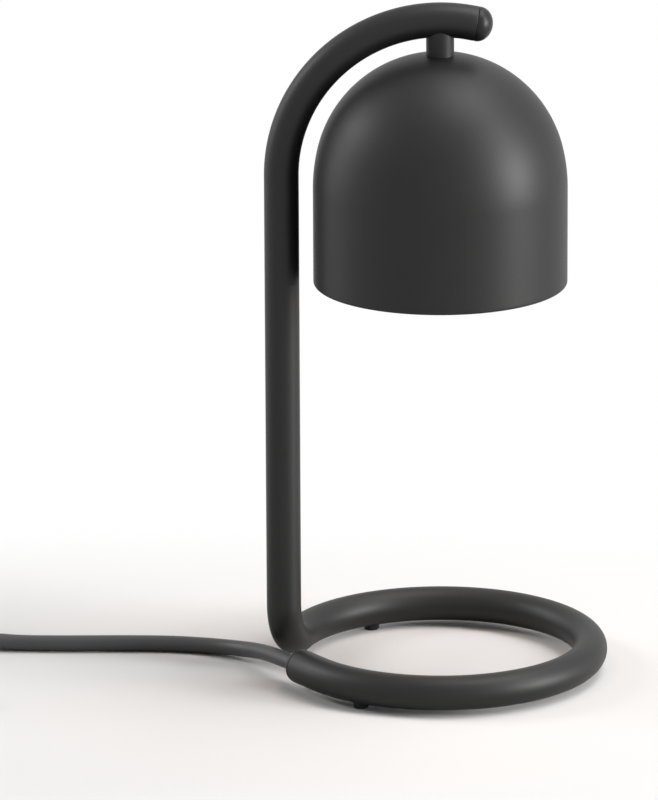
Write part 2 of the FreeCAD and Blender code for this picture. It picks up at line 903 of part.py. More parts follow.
def case_openings():
    """The room for both reliefs' necks and for the wheel, to be cut from each half."""
    neck = relief_neck_radius + relief_neck_clearance
    along = cylinder(neck, -dimmer_length, dimmer_length)
    along = facing(along, UP * dimmer_parting, vector(1, 0, 0))
    room = cylinder(
        wheel_radius + wheel_gap, wheel_bottom - wheel_gap, wheel_top + wheel_gap, wheel_axis
    )
    return along, room


def dimmer_base():
    inner_length = dimmer_length - 2 * dimmer_wall
    inner_width = dimmer_width - 2 * dimmer_wall
    inner_corner = dimmer_corner - dimmer_wall
    shell = rounded_block(dimmer_length, dimmer_width, 0, dimmer_parting, dimmer_corner)
    shell = shell.makeFillet(dimmer_base_edge, edges_at(shell, 0))
    shell = shell.cut(
        rounded_block(inner_length, inner_width, dimmer_wall, dimmer_parting, inner_corner)
    )
    bosses = [cylinder(case_boss_radius, dimmer_wall, dimmer_parting, p) for p in case_screw_places()]
    standoffs = [
        cylinder(standoff_radius, dimmer_wall, board_bottom, vector(x, y, 0))
        for x in (-board_length / 2 + standoff_inset, board_length / 2 - standoff_inset)
        for y in (-board_width / 2 + standoff_inset, board_width / 2 - standoff_inset)
    ]
    shell = shell.fuse(bosses + standoffs)
    shank_hole = case_screw_radius + case_screw_clearance
    head_hole = case_screw_head_radius + case_screw_clearance
    shell = drilled(shell, shank_hole, 0, dimmer_parting, case_screw_places())
    shell = drilled(shell, head_hole, 0, case_screw_recess, case_screw_places())
    return at_dimmer(shell.cut(list(case_openings())))


def dimmer_cover():
    inner_length = dimmer_length - 2 * dimmer_wall
    inner_width = dimmer_width - 2 * dimmer_wall
    inner_corner = dimmer_corner - dimmer_wall
    shell = rounded_block(dimmer_length, dimmer_width, dimmer_parting, dimmer_height, dimmer_corner)
    shell = shell.makeFillet(dimmer_cover_edge, edges_at(shell, dimmer_height))
    room = rounded_block(inner_length, inner_width, dimmer_parting, dimmer_ceiling, inner_corner)
    room = room.makeFillet(dimmer_cover_edge - dimmer_wall, edges_at(room, dimmer_ceiling))
    shell = shell.cut(room)
    bosses = [
        cylinder(case_boss_radius, dimmer_parting, dimmer_ceiling, p) for p in case_screw_places()
    ]
    pivot_hole = shaft_pivot_radius + shaft_clearance
    bearing = cylinder(pivot_hole + bearing_wall, wheel_top, dimmer_ceiling, wheel_axis)
    shell = shell.fuse(bosses + [bearing])
    shell = shell.cut(list(case_openings()))
    shell = shell.cut(cylinder(pivot_hole, wheel_top, dimmer_ceiling, wheel_axis))
    screw_end = case_screw_recess + case_screw_length
    shank_hole = case_screw_radius + case_screw_clearance
    return at_dimmer(drilled(shell, shank_hole, dimmer_parting, screw_end, case_screw_places()))


def dimmer_screws():
    head_bottom = case_screw_recess - case_screw_head
    screws = []
    for place in case_screw_places():
        head = cylinder(case_screw_head_radius, head_bottom, case_screw_recess, place)
        slot_size = vector(2 * case_screw_head_radius, driver_slot_width, driver_slot_depth)
        head = head.cut(block(slot_size, place, head_bottom))
        shank_end = case_screw_recess + case_screw_length
        screws.append(head.fuse(cylinder(case_screw_radius, case_screw_recess, shank_end, place)))
    return at_dimmer(Part.makeCompound(screws))


def dimmer_board():
    size = vector(board_length, board_width, board_thickness)
    return at_dimmer(block(size, vector(0, 0, 0), board_bottom))


def dimmer_potentiometer():
    hole = shaft_radius + shaft_clearance
    top = board_top + potentiometer_height
    return at_dimmer(pipe(potentiometer_radius, hole, board_top, top, wheel_axis))


def dimmer_triac():
    return at_dimmer(block(triac_size, triac_place, board_top))


def dimmer_capacitor():
    return at_dimmer(block(capacitor_size, capacitor_place, board_top))


def dimmer_choke():
    return at_dimmer(
        pipe(choke_radius, choke_bore, board_top, board_top + choke_height, choke_place)
    )


def wheel_shaft():
    """Turns in the potentiometer below and in the cover's bearing above."""
    barrel = cylinder(shaft_radius, board_top + wheel_gap, wheel_top, wheel_axis)
    flat_size = vector(2 * shaft_radius, 2 * shaft_radius, wheel_thickness)
    flat_place = wheel_axis + vector(shaft_flat + shaft_radius, 0, 0)
    barrel = barrel.cut(block(flat_size, flat_place, wheel_bottom))
    pivot = cylinder(shaft_pivot_radius, wheel_top, dimmer_ceiling - wheel_gap, wheel_axis)
    return barrel.fuse(pivot)


def dimmer_shaft():
    return at_dimmer(wheel_shaft())


def dimmer_wheel():
    disc = cylinder(wheel_radius, wheel_bottom, wheel_top, wheel_axis)
    knurl_places = [
        wheel_axis + on_circle(wheel_radius, 360 * k / knurl_count) for k in range(knurl_count)
    ]
    disc = drilled(disc, knurl_radius, wheel_bottom, wheel_top, knurl_places)
    return at_dimmer(disc.cut(wheel_shaft()))


# ---- plug, made along +X from the tip of its strain relief and then moved to its place


def at_plug(shape):
    shape.rotate(vector(0, 0, 0), UP, plug_heading)
    shape.translate(plug_place)
    return shape


def oval(x, half_width, half_height):
    centre = vector(x, 0, plug_half_height)
    widest = centre + vector(0, half_width, 0)
    highest = centre + UP * half_height
    return Part.Wire(Part.Ellipse(widest, highest, centre).toShape())


def blades():
    pair = []
    for side, width in zip((-1, 1), blade_widths):
        y = side * blade_spacing / 2
        size = vector(blade_root + blade_length, blade_thickness, width)
        place = vector(plug_face + (blade_length - blade_root) / 2, y, 0)
        blade = block(size, place, plug_half_height - width / 2)
        hole_place = vector(plug_face + blade_hole_distance, y, plug_half_height)
        hole = cylinder(blade_hole_radius, -blade_thickness, blade_thickness)
        pair.append(blade.cut(facing(hole, hole_place, vector(0, 1, 0))))
    return Part.makeCompound(pair)


def plug_blades():
    return at_plug(blades())


def plug_body():
    sections = []
    for k in range(plug_shoulder_steps + 1):
        share = (1 - math.cos(math.pi * k / plug_shoulder_steps)) / 2
        half_width = plug_neck_half_width + share * (plug_half_width - plug_neck_half_width)
        half_height = plug_neck_half_height + share * (plug_half_height - plug_neck_half_height)
        x = plug_relief_length + plug_shoulder * k / plug_shoulder_steps
        sections.append(oval(x, half_width, half_height))
    shoulder = Part.makeLoft(sections, True, True)
    barrel = Part.Face(sections[-1]).extrude(vector(plug_barrel, 0, 0))
    face_edge = [e for e in barrel.Edges if abs(e.BoundBox.XMin - plug_face) < 1e-3]
    barrel = barrel.makeFillet(plug_face_edge, face_edge)
    taper = grooved_taper(plug_relief_root_radius, relief_tip_radius, plug_relief_length)
    relief = turned(outline_of([(0, 0)] + taper + [(0, plug_relief_length)]))
    relief_root = vector(plug_relief_length, 0, plug_half_height)
    relief = facing(relief, relief_root, vector(-1, 0, 0))
    bore = facing(cylinder(cord_hole, 0, plug_bore_depth), UP * plug_half_height, vector(1, 0, 0))
    return at_plug(barrel.fuse([shoulder, relief]).cut(bore).cut(blades()))


pieces = [
    frame_tube,
    arm_end_cap,
    cord_bush,
    rubber_feet,
    shade_stem,
    threaded_nipple,
    shade,
    shade_washer,
    lock_nut,
    holder_bracket,
    lamp_holder,
    lamp_contacts,
    holder_screws,
    inner_cord,
    inner_leads,
    lead_sleeves,
    bulb_cap,
    bulb_pins,
    bulb_reflector,
    bulb_front_glass,
    bulb_capsule,
    bulb_filament,
    cord_lamp_side,
    cord_to_coil,
    cord_coil,
    cord_to_plug,
    dimmer_base,
    dimmer_cover,
    dimmer_reliefs,
    dimmer_screws,
    dimmer_board,
    dimmer_potentiometer,
    dimmer_triac,
    dimmer_capacitor,
    dimmer_choke,
    dimmer_shaft,
    dimmer_wheel,
    plug_body,
    plug_blades,
]

os.makedirs("parts", exist_ok=True)
for piece in pieces:
    shape = piece()
    shape.exportStep(f"parts/{piece.__name__}.step")
    print(f"{piece.__name__}: {len(shape.Solids)} solids, {shape.Volume:.0f} mm3, valid {shape.isValid()}")
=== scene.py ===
import math

import bmesh
import bpy
import numpy as np
from mathutils import Matrix, Vector


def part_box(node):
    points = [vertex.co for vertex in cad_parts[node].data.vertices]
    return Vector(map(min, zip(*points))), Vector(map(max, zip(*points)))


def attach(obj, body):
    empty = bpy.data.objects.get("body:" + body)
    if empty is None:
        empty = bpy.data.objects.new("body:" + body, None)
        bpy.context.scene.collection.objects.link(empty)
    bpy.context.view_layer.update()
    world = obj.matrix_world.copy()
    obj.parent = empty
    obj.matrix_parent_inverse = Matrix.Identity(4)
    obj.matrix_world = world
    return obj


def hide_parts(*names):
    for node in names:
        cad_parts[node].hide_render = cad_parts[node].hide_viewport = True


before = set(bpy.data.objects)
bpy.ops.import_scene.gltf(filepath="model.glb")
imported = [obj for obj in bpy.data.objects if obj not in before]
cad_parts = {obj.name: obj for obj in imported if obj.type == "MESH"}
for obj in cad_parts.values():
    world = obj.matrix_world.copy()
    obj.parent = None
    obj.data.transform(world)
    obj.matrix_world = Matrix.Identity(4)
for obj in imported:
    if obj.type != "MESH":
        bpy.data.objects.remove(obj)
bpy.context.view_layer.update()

scene = bpy.context.scene
mm = 0.001
tau = 2 * math.pi


# small makers that every piece uses

def vec(*xyz):
    # a point or a direction as an array
    return np.array(xyz, dtype=float)


def onCircle(radius, degrees, height=0.0):
    # the point at an angle on a level circle round the z axis
    a = math.radians(degrees)
    return vec(radius * math.cos(a), radius * math.sin(a), height)


def arcOf(centreX, centreZ, radius, start, end, count):
    # points (x, z) on a circle from one angle to another, both in degrees
    a = np.radians(np.linspace(start, end, count))
    return np.stack([centreX + radius * np.cos(a), centreZ + radius * np.sin(a)], 1)


def eased(share):
    # rises smoothly from 0 to 1: three squares less two cubes
    return share * share * (3 - 2 * share)


def roundedProfile(points, radius, steps=5, share=0.45):
    # an open outline with its corners turned into quadratic curves, of that reach or a share of an edge
    points = np.array(points, dtype=float)
    out = [points[:1]]
    t = np.linspace(0, 1, steps)[:, None]
    for before, corner, after in zip(points, points[1:], points[2:]):
        back, ahead = before - corner, after - corner
        reach = min(radius, share * np.linalg.norm(back), share * np.linalg.norm(ahead))
        p0 = corner + back / np.linalg.norm(back) * reach
        p2 = corner + ahead / np.linalg.norm(ahead) * reach
        out.append((1 - t) ** 2 * p0 + 2 * t * (1 - t) * corner + t**2 * p2)
    out.append(points[-1:])
    return np.concatenate(out)


def gridQuads(rows, cols, wrapRows=False):
    # corner numbers of the quads between neighbours on a rows by cols grid, whose rows are rings
    i = np.arange(rows if wrapRows else rows - 1)[:, None]
    j = np.arange(cols)[None, :]
    i2, j2 = (i + 1) % rows, (j + 1) % cols
    quads = np.stack([i * cols + j, i * cols + j2, i2 * cols + j2, i2 * cols + j], -1)
    return quads.reshape(-1, 4)


def makeMesh(name, points, faces, merge=2e-7, sliver=1e-7):
    # an object from points in millimetres; doubles are merged and every face is turned outwards
    mesh = bpy.data.meshes.new(name)
    mesh.from_pydata((points * mm).tolist(), [], faces)
    bm = bmesh.new()
    bm.from_mesh(mesh)
    bmesh.ops.remove_doubles(bm, verts=bm.verts, dist=merge)
    bmesh.ops.dissolve_degenerate(bm, edges=bm.edges, dist=sliver)
    bmesh.ops.recalc_face_normals(bm, faces=bm.faces)
    bm.to_mesh(mesh)
    bm.free()
    made = bpy.data.objects.new(name, mesh)
    scene.collection.objects.link(made)
    return made


def smoothMesh(mesh, sharp=35):
    # smooth shading, with a hard edge wherever two faces meet at more than that many degrees
    mesh.shade_smooth()
    mesh.set_sharp_from_angle(angle=math.radians(sharp))


def piece(name, grids, look, body="lamp", replaces=(), sharp=35):
    # joins grids of (points, quads) into one finished piece
    points = np.concatenate([p.reshape(-1, 3) for p, q in grids])
    starts = np.cumsum([0] + [p.size // 3 for p, q in grids])
    quads = np.concatenate([q + s for (p, q), s in zip(grids, starts)])
    made = makeMesh(name, points, quads.tolist())
    smoothMesh(made.data, sharp)
    return dress(made, look, body, replaces)


def dress(made, look, body="lamp", replaces=()):
    # gives a piece its material, the body that it rides on and the nodes that it stands for
    made.data.materials.clear()
    made.data.materials.append(look)
    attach(made, body)
    if replaces:
        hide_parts(*replaces)
    return made


def turnedGrid(profile, segments=96, origin=(0, 0, 0), axis=(0, 0, 1), ripple=None, closed=True):
    # profile of (radius, height) points carried round an axis; ripple changes the radius by angle
    profile = np.asarray(profile, dtype=float)
    a = np.linspace(0, tau, segments, endpoint=False)
    axis = vec(*axis) / np.linalg.norm(axis)
    upright = abs(axis[2]) >= 0.9
    helper = vec(1, 0, 0) if upright else vec(0, 0, 1)
    side = np.cross(helper, axis)
    side /= np.linalg.norm(side)
    up = np.cross(axis, side)
    radius = profile[:, :1] * np.ones_like(a)[None, :]
    if ripple is not None:
        radius = radius + ripple(profile[:, :1], profile[:, 1:2], a[None, :])
    points = (
        vec(*origin)
        + radius[..., None] * (np.cos(a)[None, :, None] * side + np.sin(a)[None, :, None] * up)
        + profile[:, 1][:, None, None] * axis
    )
    return points, gridQuads(len(profile), segments, wrapRows=closed)


def sweptGrid(centres, sides, tangents, radii, segments):
    # a circle carried along a path that closes on itself, one ring of points to each station
    ups = np.cross(tangents, sides)
    a = np.linspace(0, tau, segments, endpoint=False)[None, :, None]
    rings = radii[:, None, None] * (np.cos(a) * sides[:, None] + np.sin(a) * ups[:, None])
    return centres[:, None] + rings, gridQuads(len(centres), segments, wrapRows=True)


# materials, each one named for what it is made of

toneMix = {"patchShare": 0.65, "grainShare": 0.35, "low": 0.3, "high": 0.7}


def mathNode(tree, operation, *values):
    # one arithmetic node; each value is a number or another node's output
    node = tree.nodes.new("ShaderNodeMath")
    node.operation = operation
    for socket, value in zip(node.inputs, values):
        if isinstance(value, bpy.types.NodeSocket):
            tree.links.new(value, socket)
        else:
            socket.default_value = value
    return node.outputs[0]


def finish(name, colour, second, rough=0.5, roughSpread=0.06, metal=0.0, patch=0.02,
           grain=0.0006, bump=0.00001, stretch=(1, 1, 1), specular=0.5, coat=0.0, coatRough=0.2,
           glass=0.0, ior=1.5, sheen=0.0, fine=0.0, fineScale=0.0002):
    # broad patches drift between two tones, a grain gives the bump, and roughness drifts with both
    look = bpy.data.materials.new(name)
    look.use_nodes = True
    tree = look.node_tree
    nodes, links = tree.nodes, tree.links
    shader = nodes["Principled BSDF"]
    shader.inputs["Metallic"].default_value = metal
    shader.inputs["Specular IOR Level"].default_value = specular
    shader.inputs["IOR"].default_value = ior
    shader.inputs["Coat Weight"].default_value = coat
    shader.inputs["Coat Roughness"].default_value = coatRough
    shader.inputs["Transmission Weight"].default_value = glass
    shader.inputs["Sheen Weight"].default_value = sheen
    place = nodes.new("ShaderNodeTexCoord")
    mapping = nodes.new("ShaderNodeMapping")
    mapping.inputs["Scale"].default_value = stretch
    links.new(place.outputs["Object"], mapping.inputs["Vector"])

    def noise(size, detail):
        # soft noise whose lumps are about that size, in metres
        node = nodes.new("ShaderNodeTexNoise")
        node.inputs["Scale"].default_value = 1 / size
        node.inputs["Detail"].default_value = detail
        links.new(mapping.outputs["Vector"], node.inputs["Vector"])
        return node.outputs["Fac"]

    def bumpNode(height, depth):
        # leans the light as if the surface rose by that depth, in metres, where the height is 1
        node = nodes.new("ShaderNodeBump")
        node.inputs["Distance"].default_value = depth
        node.inputs["Strength"].default_value = 1.0
        links.new(height, node.inputs["Height"])
        return node

    grains = noise(grain, detail=2.0)
    scaled = mathNode(tree, "MULTIPLY", noise(patch, detail=3.0), toneMix["patchShare"])
    blended = mathNode(tree, "MULTIPLY_ADD", grains, toneMix["grainShare"], scaled)
    tones = nodes.new("ShaderNodeValToRGB")
    low, high = tones.color_ramp.elements
    low.position, high.position = toneMix["low"], toneMix["high"]
    low.color, high.color = (*colour, 1), (*second, 1)
    links.new(blended, tones.inputs["Fac"])
    links.new(tones.outputs["Color"], shader.inputs["Base Color"])
    drift = nodes.new("ShaderNodeMapRange")
    drift.inputs["From Min"].default_value = toneMix["low"]
    drift.inputs["From Max"].default_value = toneMix["high"]
    drift.inputs["To Min"].default_value = rough - roughSpread
    drift.inputs["To Max"].default_value = rough + roughSpread
    links.new(blended, drift.inputs["Value"])
    links.new(drift.outputs["Result"], shader.inputs["Roughness"])
    relief = bumpNode(grains, bump)
    if fine:
        dust = bumpNode(noise(fineScale, detail=1.0), fine)
        links.new(relief.outputs["Normal"], dust.inputs["Normal"])
        relief = dust
    links.new(relief.outputs["Normal"], shader.inputs["Normal"])
    return look


powderCoat = finish("powderCoat", (0.0048, 0.0048, 0.0049), (0.0064, 0.0063, 0.0062), rough=0.49,
                    roughSpread=0.03, patch=0.05, grain=0.0007, bump=0.00002, specular=0.36,
                    fine=0.000012, fineScale=0.00025)
capPlastic = finish("capPlastic", (0.008, 0.008, 0.0082), (0.011, 0.011, 0.011), rough=0.4,
                    patch=0.01, grain=0.0004, bump=0.000008, specular=0.25)
softRubber = finish("softRubber", (0.008, 0.008, 0.008), (0.012, 0.012, 0.0118), rough=0.55,
                    roughSpread=0.08, patch=0.006, grain=0.0004, bump=0.00002, specular=0.25)
bushRubber = finish("bushRubber", (0.0065, 0.0065, 0.0065), (0.0085, 0.0085, 0.0084), rough=0.48,
                    roughSpread=0.05, patch=0.006, grain=0.0005, bump=0.000014, specular=0.36)
cordJacket = finish("cordJacket", (0.05, 0.05, 0.051), (0.062, 0.062, 0.062), rough=0.5,
                    roughSpread=0.07, patch=0.012, grain=0.0006, bump=0.00004, specular=0.45)
casePlastic = finish("casePlastic", (0.014, 0.014, 0.0148), (0.019, 0.019, 0.0195), rough=0.55,
                     roughSpread=0.05, patch=0.015, grain=0.0004, bump=0.00006, specular=0.45)
wheelPlastic = finish("wheelPlastic", (0.07, 0.07, 0.072), (0.085, 0.085, 0.086), rough=0.5,
                      patch=0.006, grain=0.0003, bump=0.000012)
zincSteel = finish("zincSteel", (0.56, 0.57, 0.6), (0.66, 0.66, 0.66), rough=0.34, roughSpread=0.1,
                   metal=1.0, patch=0.004, grain=0.0005, bump=0.000006, stretch=(1, 1, 0.25))
plainBrass = finish("plainBrass", (0.72, 0.52, 0.22), (0.8, 0.62, 0.3), rough=0.3, metal=1.0,
                    patch=0.003, grain=0.0004, bump=0.000004)
nickelBrass = finish("nickelBrass", (0.62, 0.59, 0.53), (0.7, 0.67, 0.6), rough=0.26,
                     roughSpread=0.07, metal=1.0, patch=0.004, grain=0.0004, bump=0.000004,
                     stretch=(0.25, 1, 1))
porcelain = finish("porcelain", (0.74, 0.71, 0.64), (0.8, 0.77, 0.7), rough=0.28, patch=0.006,
                   grain=0.0008, bump=0.00002, coat=0.4, coatRough=0.12)
clearGlass = finish("clearGlass", (0.97, 0.97, 0.96), (0.99, 0.99, 0.98), rough=0.04,
                    roughSpread=0.02, patch=0.01, grain=0.002, bump=0.00001, glass=1.0, ior=1.47)
mirrorGlass = finish("mirrorGlass", (0.72, 0.72, 0.76), (0.84, 0.82, 0.78), rough=0.16,
                     roughSpread=0.05, metal=0.85, patch=0.008, grain=0.001, bump=0.00001,
                     coat=0.5, coatRough=0.05)
frostedGlass = finish("frostedGlass", (0.82, 0.82, 0.79), (0.88, 0.88, 0.85), rough=0.35,
                      patch=0.006, grain=0.0006, bump=0.00002, glass=0.35, coat=0.3)
tungstenWire = finish("tungstenWire", (0.3, 0.29, 0.28), (0.4, 0.39, 0.37), rough=0.4, metal=1.0,
                      patch=0.001, grain=0.0002, bump=0.00001)
siliconeLead = finish("siliconeLead", (0.7, 0.68, 0.63), (0.78, 0.76, 0.71), rough=0.5,
                      patch=0.004, grain=0.0004, bump=0.00001)
glassSleeve = finish("glassSleeve", (0.74, 0.72, 0.66), (0.84, 0.82, 0.77), rough=0.75,
                     patch=0.001, grain=0.0003, bump=0.00008, sheen=0.3)
boardGreen = finish("boardGreen", (0.03, 0.14, 0.05), (0.045, 0.19, 0.07), rough=0.35,
                    patch=0.002, grain=0.0008, bump=0.00003, coat=0.3)
potPlastic = finish("potPlastic", (0.05, 0.08, 0.2), (0.07, 0.1, 0.25), rough=0.45, patch=0.003,
                    grain=0.0003, bump=0.00001)
chipPlastic = finish("chipPlastic", (0.02, 0.02, 0.021), (0.03, 0.03, 0.03), rough=0.4,
                     patch=0.002, grain=0.0002, bump=0.00001)
filmYellow = finish("filmYellow", (0.5, 0.26, 0.03), (0.58, 0.33, 0.05), rough=0.3, patch=0.003,
                    grain=0.0005, bump=0.00001, coat=0.3)
chokeFerrite = finish("chokeFerrite", (0.03, 0.028, 0.028), (0.32, 0.13, 0.05), rough=0.5,
                      patch=0.0012, grain=0.0004, bump=0.00005, stretch=(1, 1, 6))
print("materials made")


# camera

cameraView = {
    "focalPixels": 8618.67,
    "frameHeight": 800,
    "sensor": 36,
    "clip": (0.05, 30),
    "distance": 3.97607,
    "elevation": 0.277342,
    "roll": -0.0047476,
    "target": (-0.0514407, 0.0, 0.1298666),
}


def makeCamera(view):
    # stands off its target by the distance, tipped down by the elevation and rolled, both in radians
    e, roll = view["elevation"], view["roll"]
    ahead = Vector((0, math.cos(e), -math.sin(e)))
    right, up = Vector((1, 0, 0)), Vector((0, math.sin(e), math.cos(e)))
    turnedRight = math.cos(roll) * right + math.sin(roll) * up
    turnedUp = -math.sin(roll) * right + math.cos(roll) * up
    data = bpy.data.cameras.new("lampCamera")
    data.sensor_width = view["sensor"]
    data.lens = data.sensor_width * view["focalPixels"] / view["frameHeight"]
    data.clip_start, data.clip_end = view["clip"]
    camera = bpy.data.objects.new("lampCamera", data)
    turn = Matrix((turnedRight, turnedUp, -ahead)).transposed()
    stand = Vector(view["target"]) - ahead * view["distance"]
    camera.matrix_world = Matrix.Translation(stand) @ turn.to_4x4()
    scene.collection.objects.link(camera)
    scene.camera = camera


makeCamera(cameraView)
print("camera set")


# the free cord, in two lengths with the dimmer between them; it starts in the frame's open end

frameSize = {
    "tube": 8.0,
    "wall": 1.2,
    "edge": 0.35,
    "ring": 69.4,
    "footBend": 22.0,
    "ringHeight": 10.0,
    "spring": 236.905,
    "overhang": 10.8,
    "armEnd": 3.0,
    "ringEndAngle": -145.0,
    "ringEndRun": 14.0,
}
ringHeading = onCircle(1, frameSize["ringEndAngle"] - 90)
ringEnd = onCircle(frameSize["ring"], frameSize["ringEndAngle"], frameSize["ringHeight"])
tubeEnd = ringEnd + ringHeading * frameSize["ringEndRun"]

cordSize = {
    "radius": 3.7,
    "bushDepth": 9.0,
    "bushShoulder": 3.6,
    "exitRun": 10.0,
    "lampSideLength": 0.23,
    "plugSideLength": 1.35,
}
coilPlan = {
    "centre": (-339.0, -42.2),
    "inner": 38.2,
    "outer": 45.9,
    "layers": (3.7, 11.1, 18.5),
    "shifts": (0.93, 1.77, 2.61, 3.45),
    "shiftWidth": 0.06,
    "turns": 4.31,
    "perTurn": 16,
}
cordExit = tubeEnd + ringHeading * cordSize["bushShoulder"]
cordStart = tubeEnd - ringHeading * cordSize["bushDepth"]

lampSideRoute = np.array([
    cordStart,
    cordExit + ringHeading * cordSize["exitRun"],
    (-82.5, 0.5, 8.2),
    (-93.5, 15.0, 5.2),
    (-108.3, 24.3, 3.8),
    (-127.0, 28.4, 3.7),
    (-152.0, 29.2, 3.7),
    (-180.0, 29.0, 3.7),
    (-203.5, 30.6, 3.7),
    (-233.0, 31.5, 7.5),
    (-262.5, 31.5, 7.5),
])
toCoilRoute = np.array([
    (-320.0, 31.5, 7.5),
    (-339.0, 31.5, 7.5),
    (-351.0, 31.2, 7.2),
    (-368.7, 20.0, 4.1),
    (-381.6, 0.2, 3.7),
    (-384.0, -21.8, 3.7),
])
toPlugRoute = np.array([
    (-306.8, -78.8, 18.0),
    (-291.4, -72.8, 12.6),
    (-275.6, -66.5, 9.0),
    (-261.7, -61.0, 9.0),
])


def coilTurns(plan):
    # the spare cord winds two turns wide and three layers high; each change of place is a smooth step
    t = np.arange(0, plan["turns"], 1 / plan["perTurn"])
    t = np.append(t, plan["turns"])
    first, second, third, fourth = (
        eased(np.clip((t - where) / (2 * plan["shiftWidth"]) + 0.5, 0, 1)) for where in plan["shifts"]
    )
    low, middle, high = plan["layers"]
    radius = plan["outer"] + (plan["inner"] - plan["outer"]) * (first - third)
    height = low + (middle - low) * second + (high - middle) * fourth
    radius = radius / np.cos(math.pi / plan["perTurn"]) ** 0.5  # a spline cuts its corners by about this
    a = math.pi + tau * t
    x, y = plan["centre"]
    return np.stack([x + radius * np.cos(a), y + radius * np.sin(a), height], 1)


def cordCurve(name, route, replaced, roundSteps=7, pathSteps=10, order=3):
    # a round cord on a quadratic spline, with the route as its control points
    data = bpy.data.curves.new(name, "CURVE")
    data.dimensions = "3D"
    data.bevel_depth = cordSize["radius"] * mm
    data.bevel_resolution = roundSteps
    data.resolution_u = pathSteps
    data.use_fill_caps = True
    spline = data.splines.new("NURBS")
    spline.points.add(len(route) - 1)
    flat = np.concatenate([route * mm, np.ones((len(route), 1))], 1).ravel()
    spline.points.foreach_set("co", flat)
    spline.order_u = order
    spline.use_endpoint_u = True
    made = bpy.data.objects.new(name, data)
    scene.collection.objects.link(made)
    return dress(made, cordJacket, "lamp", replaced)


cordLampSide = cordCurve("cordLampSide", lampSideRoute, ["cord_lamp_side"])
plugSideRoute = np.concatenate([toCoilRoute, coilTurns(coilPlan), toPlugRoute])
cordPlugSide = cordCurve("cordPlugSide", plugSideRoute, ["cord_to_coil", "cord_coil", "cord_to_plug"])
print("cords laid")


# bent tube frame

def framePath(size, ringSteps=240, bendSteps=28, riserSteps=40, armSteps=110):
    # stations along ring, foot bend, riser and arm: a centre, a side direction and a tangent for each
    ring, bend, z0 = size["ring"], size["footBend"], size["ringHeight"]
    takeOff = 180 - math.degrees(math.atan2(bend, ring))
    armRadius = math.hypot(ring, bend)
    a = np.radians(np.linspace(size["ringEndAngle"], takeOff, ringSteps))
    radial = np.stack([np.cos(a), np.sin(a), 0 * a], 1)
    along = np.stack([-np.sin(a), np.cos(a), 0 * a], 1)
    level = vec(0, 0, z0)
    mouth = radial[:1] * ring + level - along[:1] * size["ringEndRun"]
    rows = [(mouth, radial[:1], along[:1])]
    rows.append((radial * ring + level, radial, along))
    f = np.linspace(0, math.pi / 2, bendSteps)[1:, None]
    up = vec(0, 0, 1)
    heading, start = along[-1], radial[-1] * ring + level
    rows.append((
        start + bend * (heading * np.sin(f) + up * (1 - np.cos(f))),
        np.broadcast_to(radial[-1], (len(f), 3)),
        heading * np.cos(f) + up * np.sin(f),
    ))
    s = np.linspace(0, 1, riserSteps)[1:]
    sideAngle = np.radians(takeOff + (90 - takeOff) * s)
    riser = np.stack([0 * s - armRadius, 0 * s, z0 + bend + (size["spring"] - z0 - bend) * s], 1)
    rows.append((
        riser,
        np.stack([np.cos(sideAngle), np.sin(sideAngle), 0 * s], 1),
        np.broadcast_to(up, (len(s), 3)),
    ))
    b = np.radians(np.linspace(-90, size["overhang"], armSteps))[1:]
    arm = np.stack([armRadius * np.sin(b), 0 * b, size["spring"] + armRadius * np.cos(b)], 1)
    armAlong = np.stack([np.cos(b), 0 * b, -np.sin(b)], 1)
    across = np.broadcast_to(vec(0, 1, 0), (len(b), 3))
    rows.append((arm, across, armAlong))
    rows.append((arm[-1:] + armAlong[-1:] * size["armEnd"], across[-1:], armAlong[-1:]))
    return [np.concatenate(column) for column in zip(*rows)]


def makeFrame(size, rimSteps=4, segments=72):
    # outer skin, rounded rims and inner skin, closed into one tube with open ends
    centres, sides, tangents = framePath(size)
    f = np.linspace(0, math.pi / 2, rimSteps)
    back = size["edge"] * (1 - np.sin(f))
    cut = size["edge"] * (1 - np.cos(f))

    def withRims(rows):
        # the first and the last station, repeated once for each step of their rims
        first, last = np.repeat(rows[:1], rimSteps, 0), np.repeat(rows[-1:], rimSteps, 0)
        return np.concatenate([first, rows[1:-1], last])

    outer = withRims(centres)
    outer[:rimSteps] += back[::-1, None] * tangents[0]
    outer[-rimSteps:] -= back[:, None] * tangents[-1]
    radii = np.full(len(outer), size["tube"])
    radii[:rimSteps] -= cut[::-1]
    radii[-rimSteps:] -= cut
    innerRadii = np.full(len(centres), size["tube"] - size["wall"])
    grid = sweptGrid(
        np.concatenate([outer, centres[::-1]]),
        np.concatenate([withRims(sides), sides[::-1]]),
        np.concatenate([withRims(tangents), tangents[::-1]]),
        np.concatenate([radii, innerRadii]),
        segments,
    )
    return piece("frameTube", [grid], powderCoat, replaces=["frame_tube"], sharp=50)


makeFrame(frameSize)

armRadius = math.hypot(frameSize["ring"], frameSize["footBend"])
tipAngle = math.radians(frameSize["overhang"])
tipHeading = vec(math.cos(tipAngle), 0, -math.sin(tipAngle))
armTip = vec(armRadius * math.sin(tipAngle), 0, frameSize["spring"] + armRadius * math.cos(tipAngle))
armTip = armTip + tipHeading * frameSize["armEnd"]

capSize = {
    "radius": 8.0,
    "rim": 0.8,
    "dome": 6.7,
    "edge": 0.3,
    "spigot": 6.7,
    "spigotLength": 4.5,
    "wall": 1.4,
}


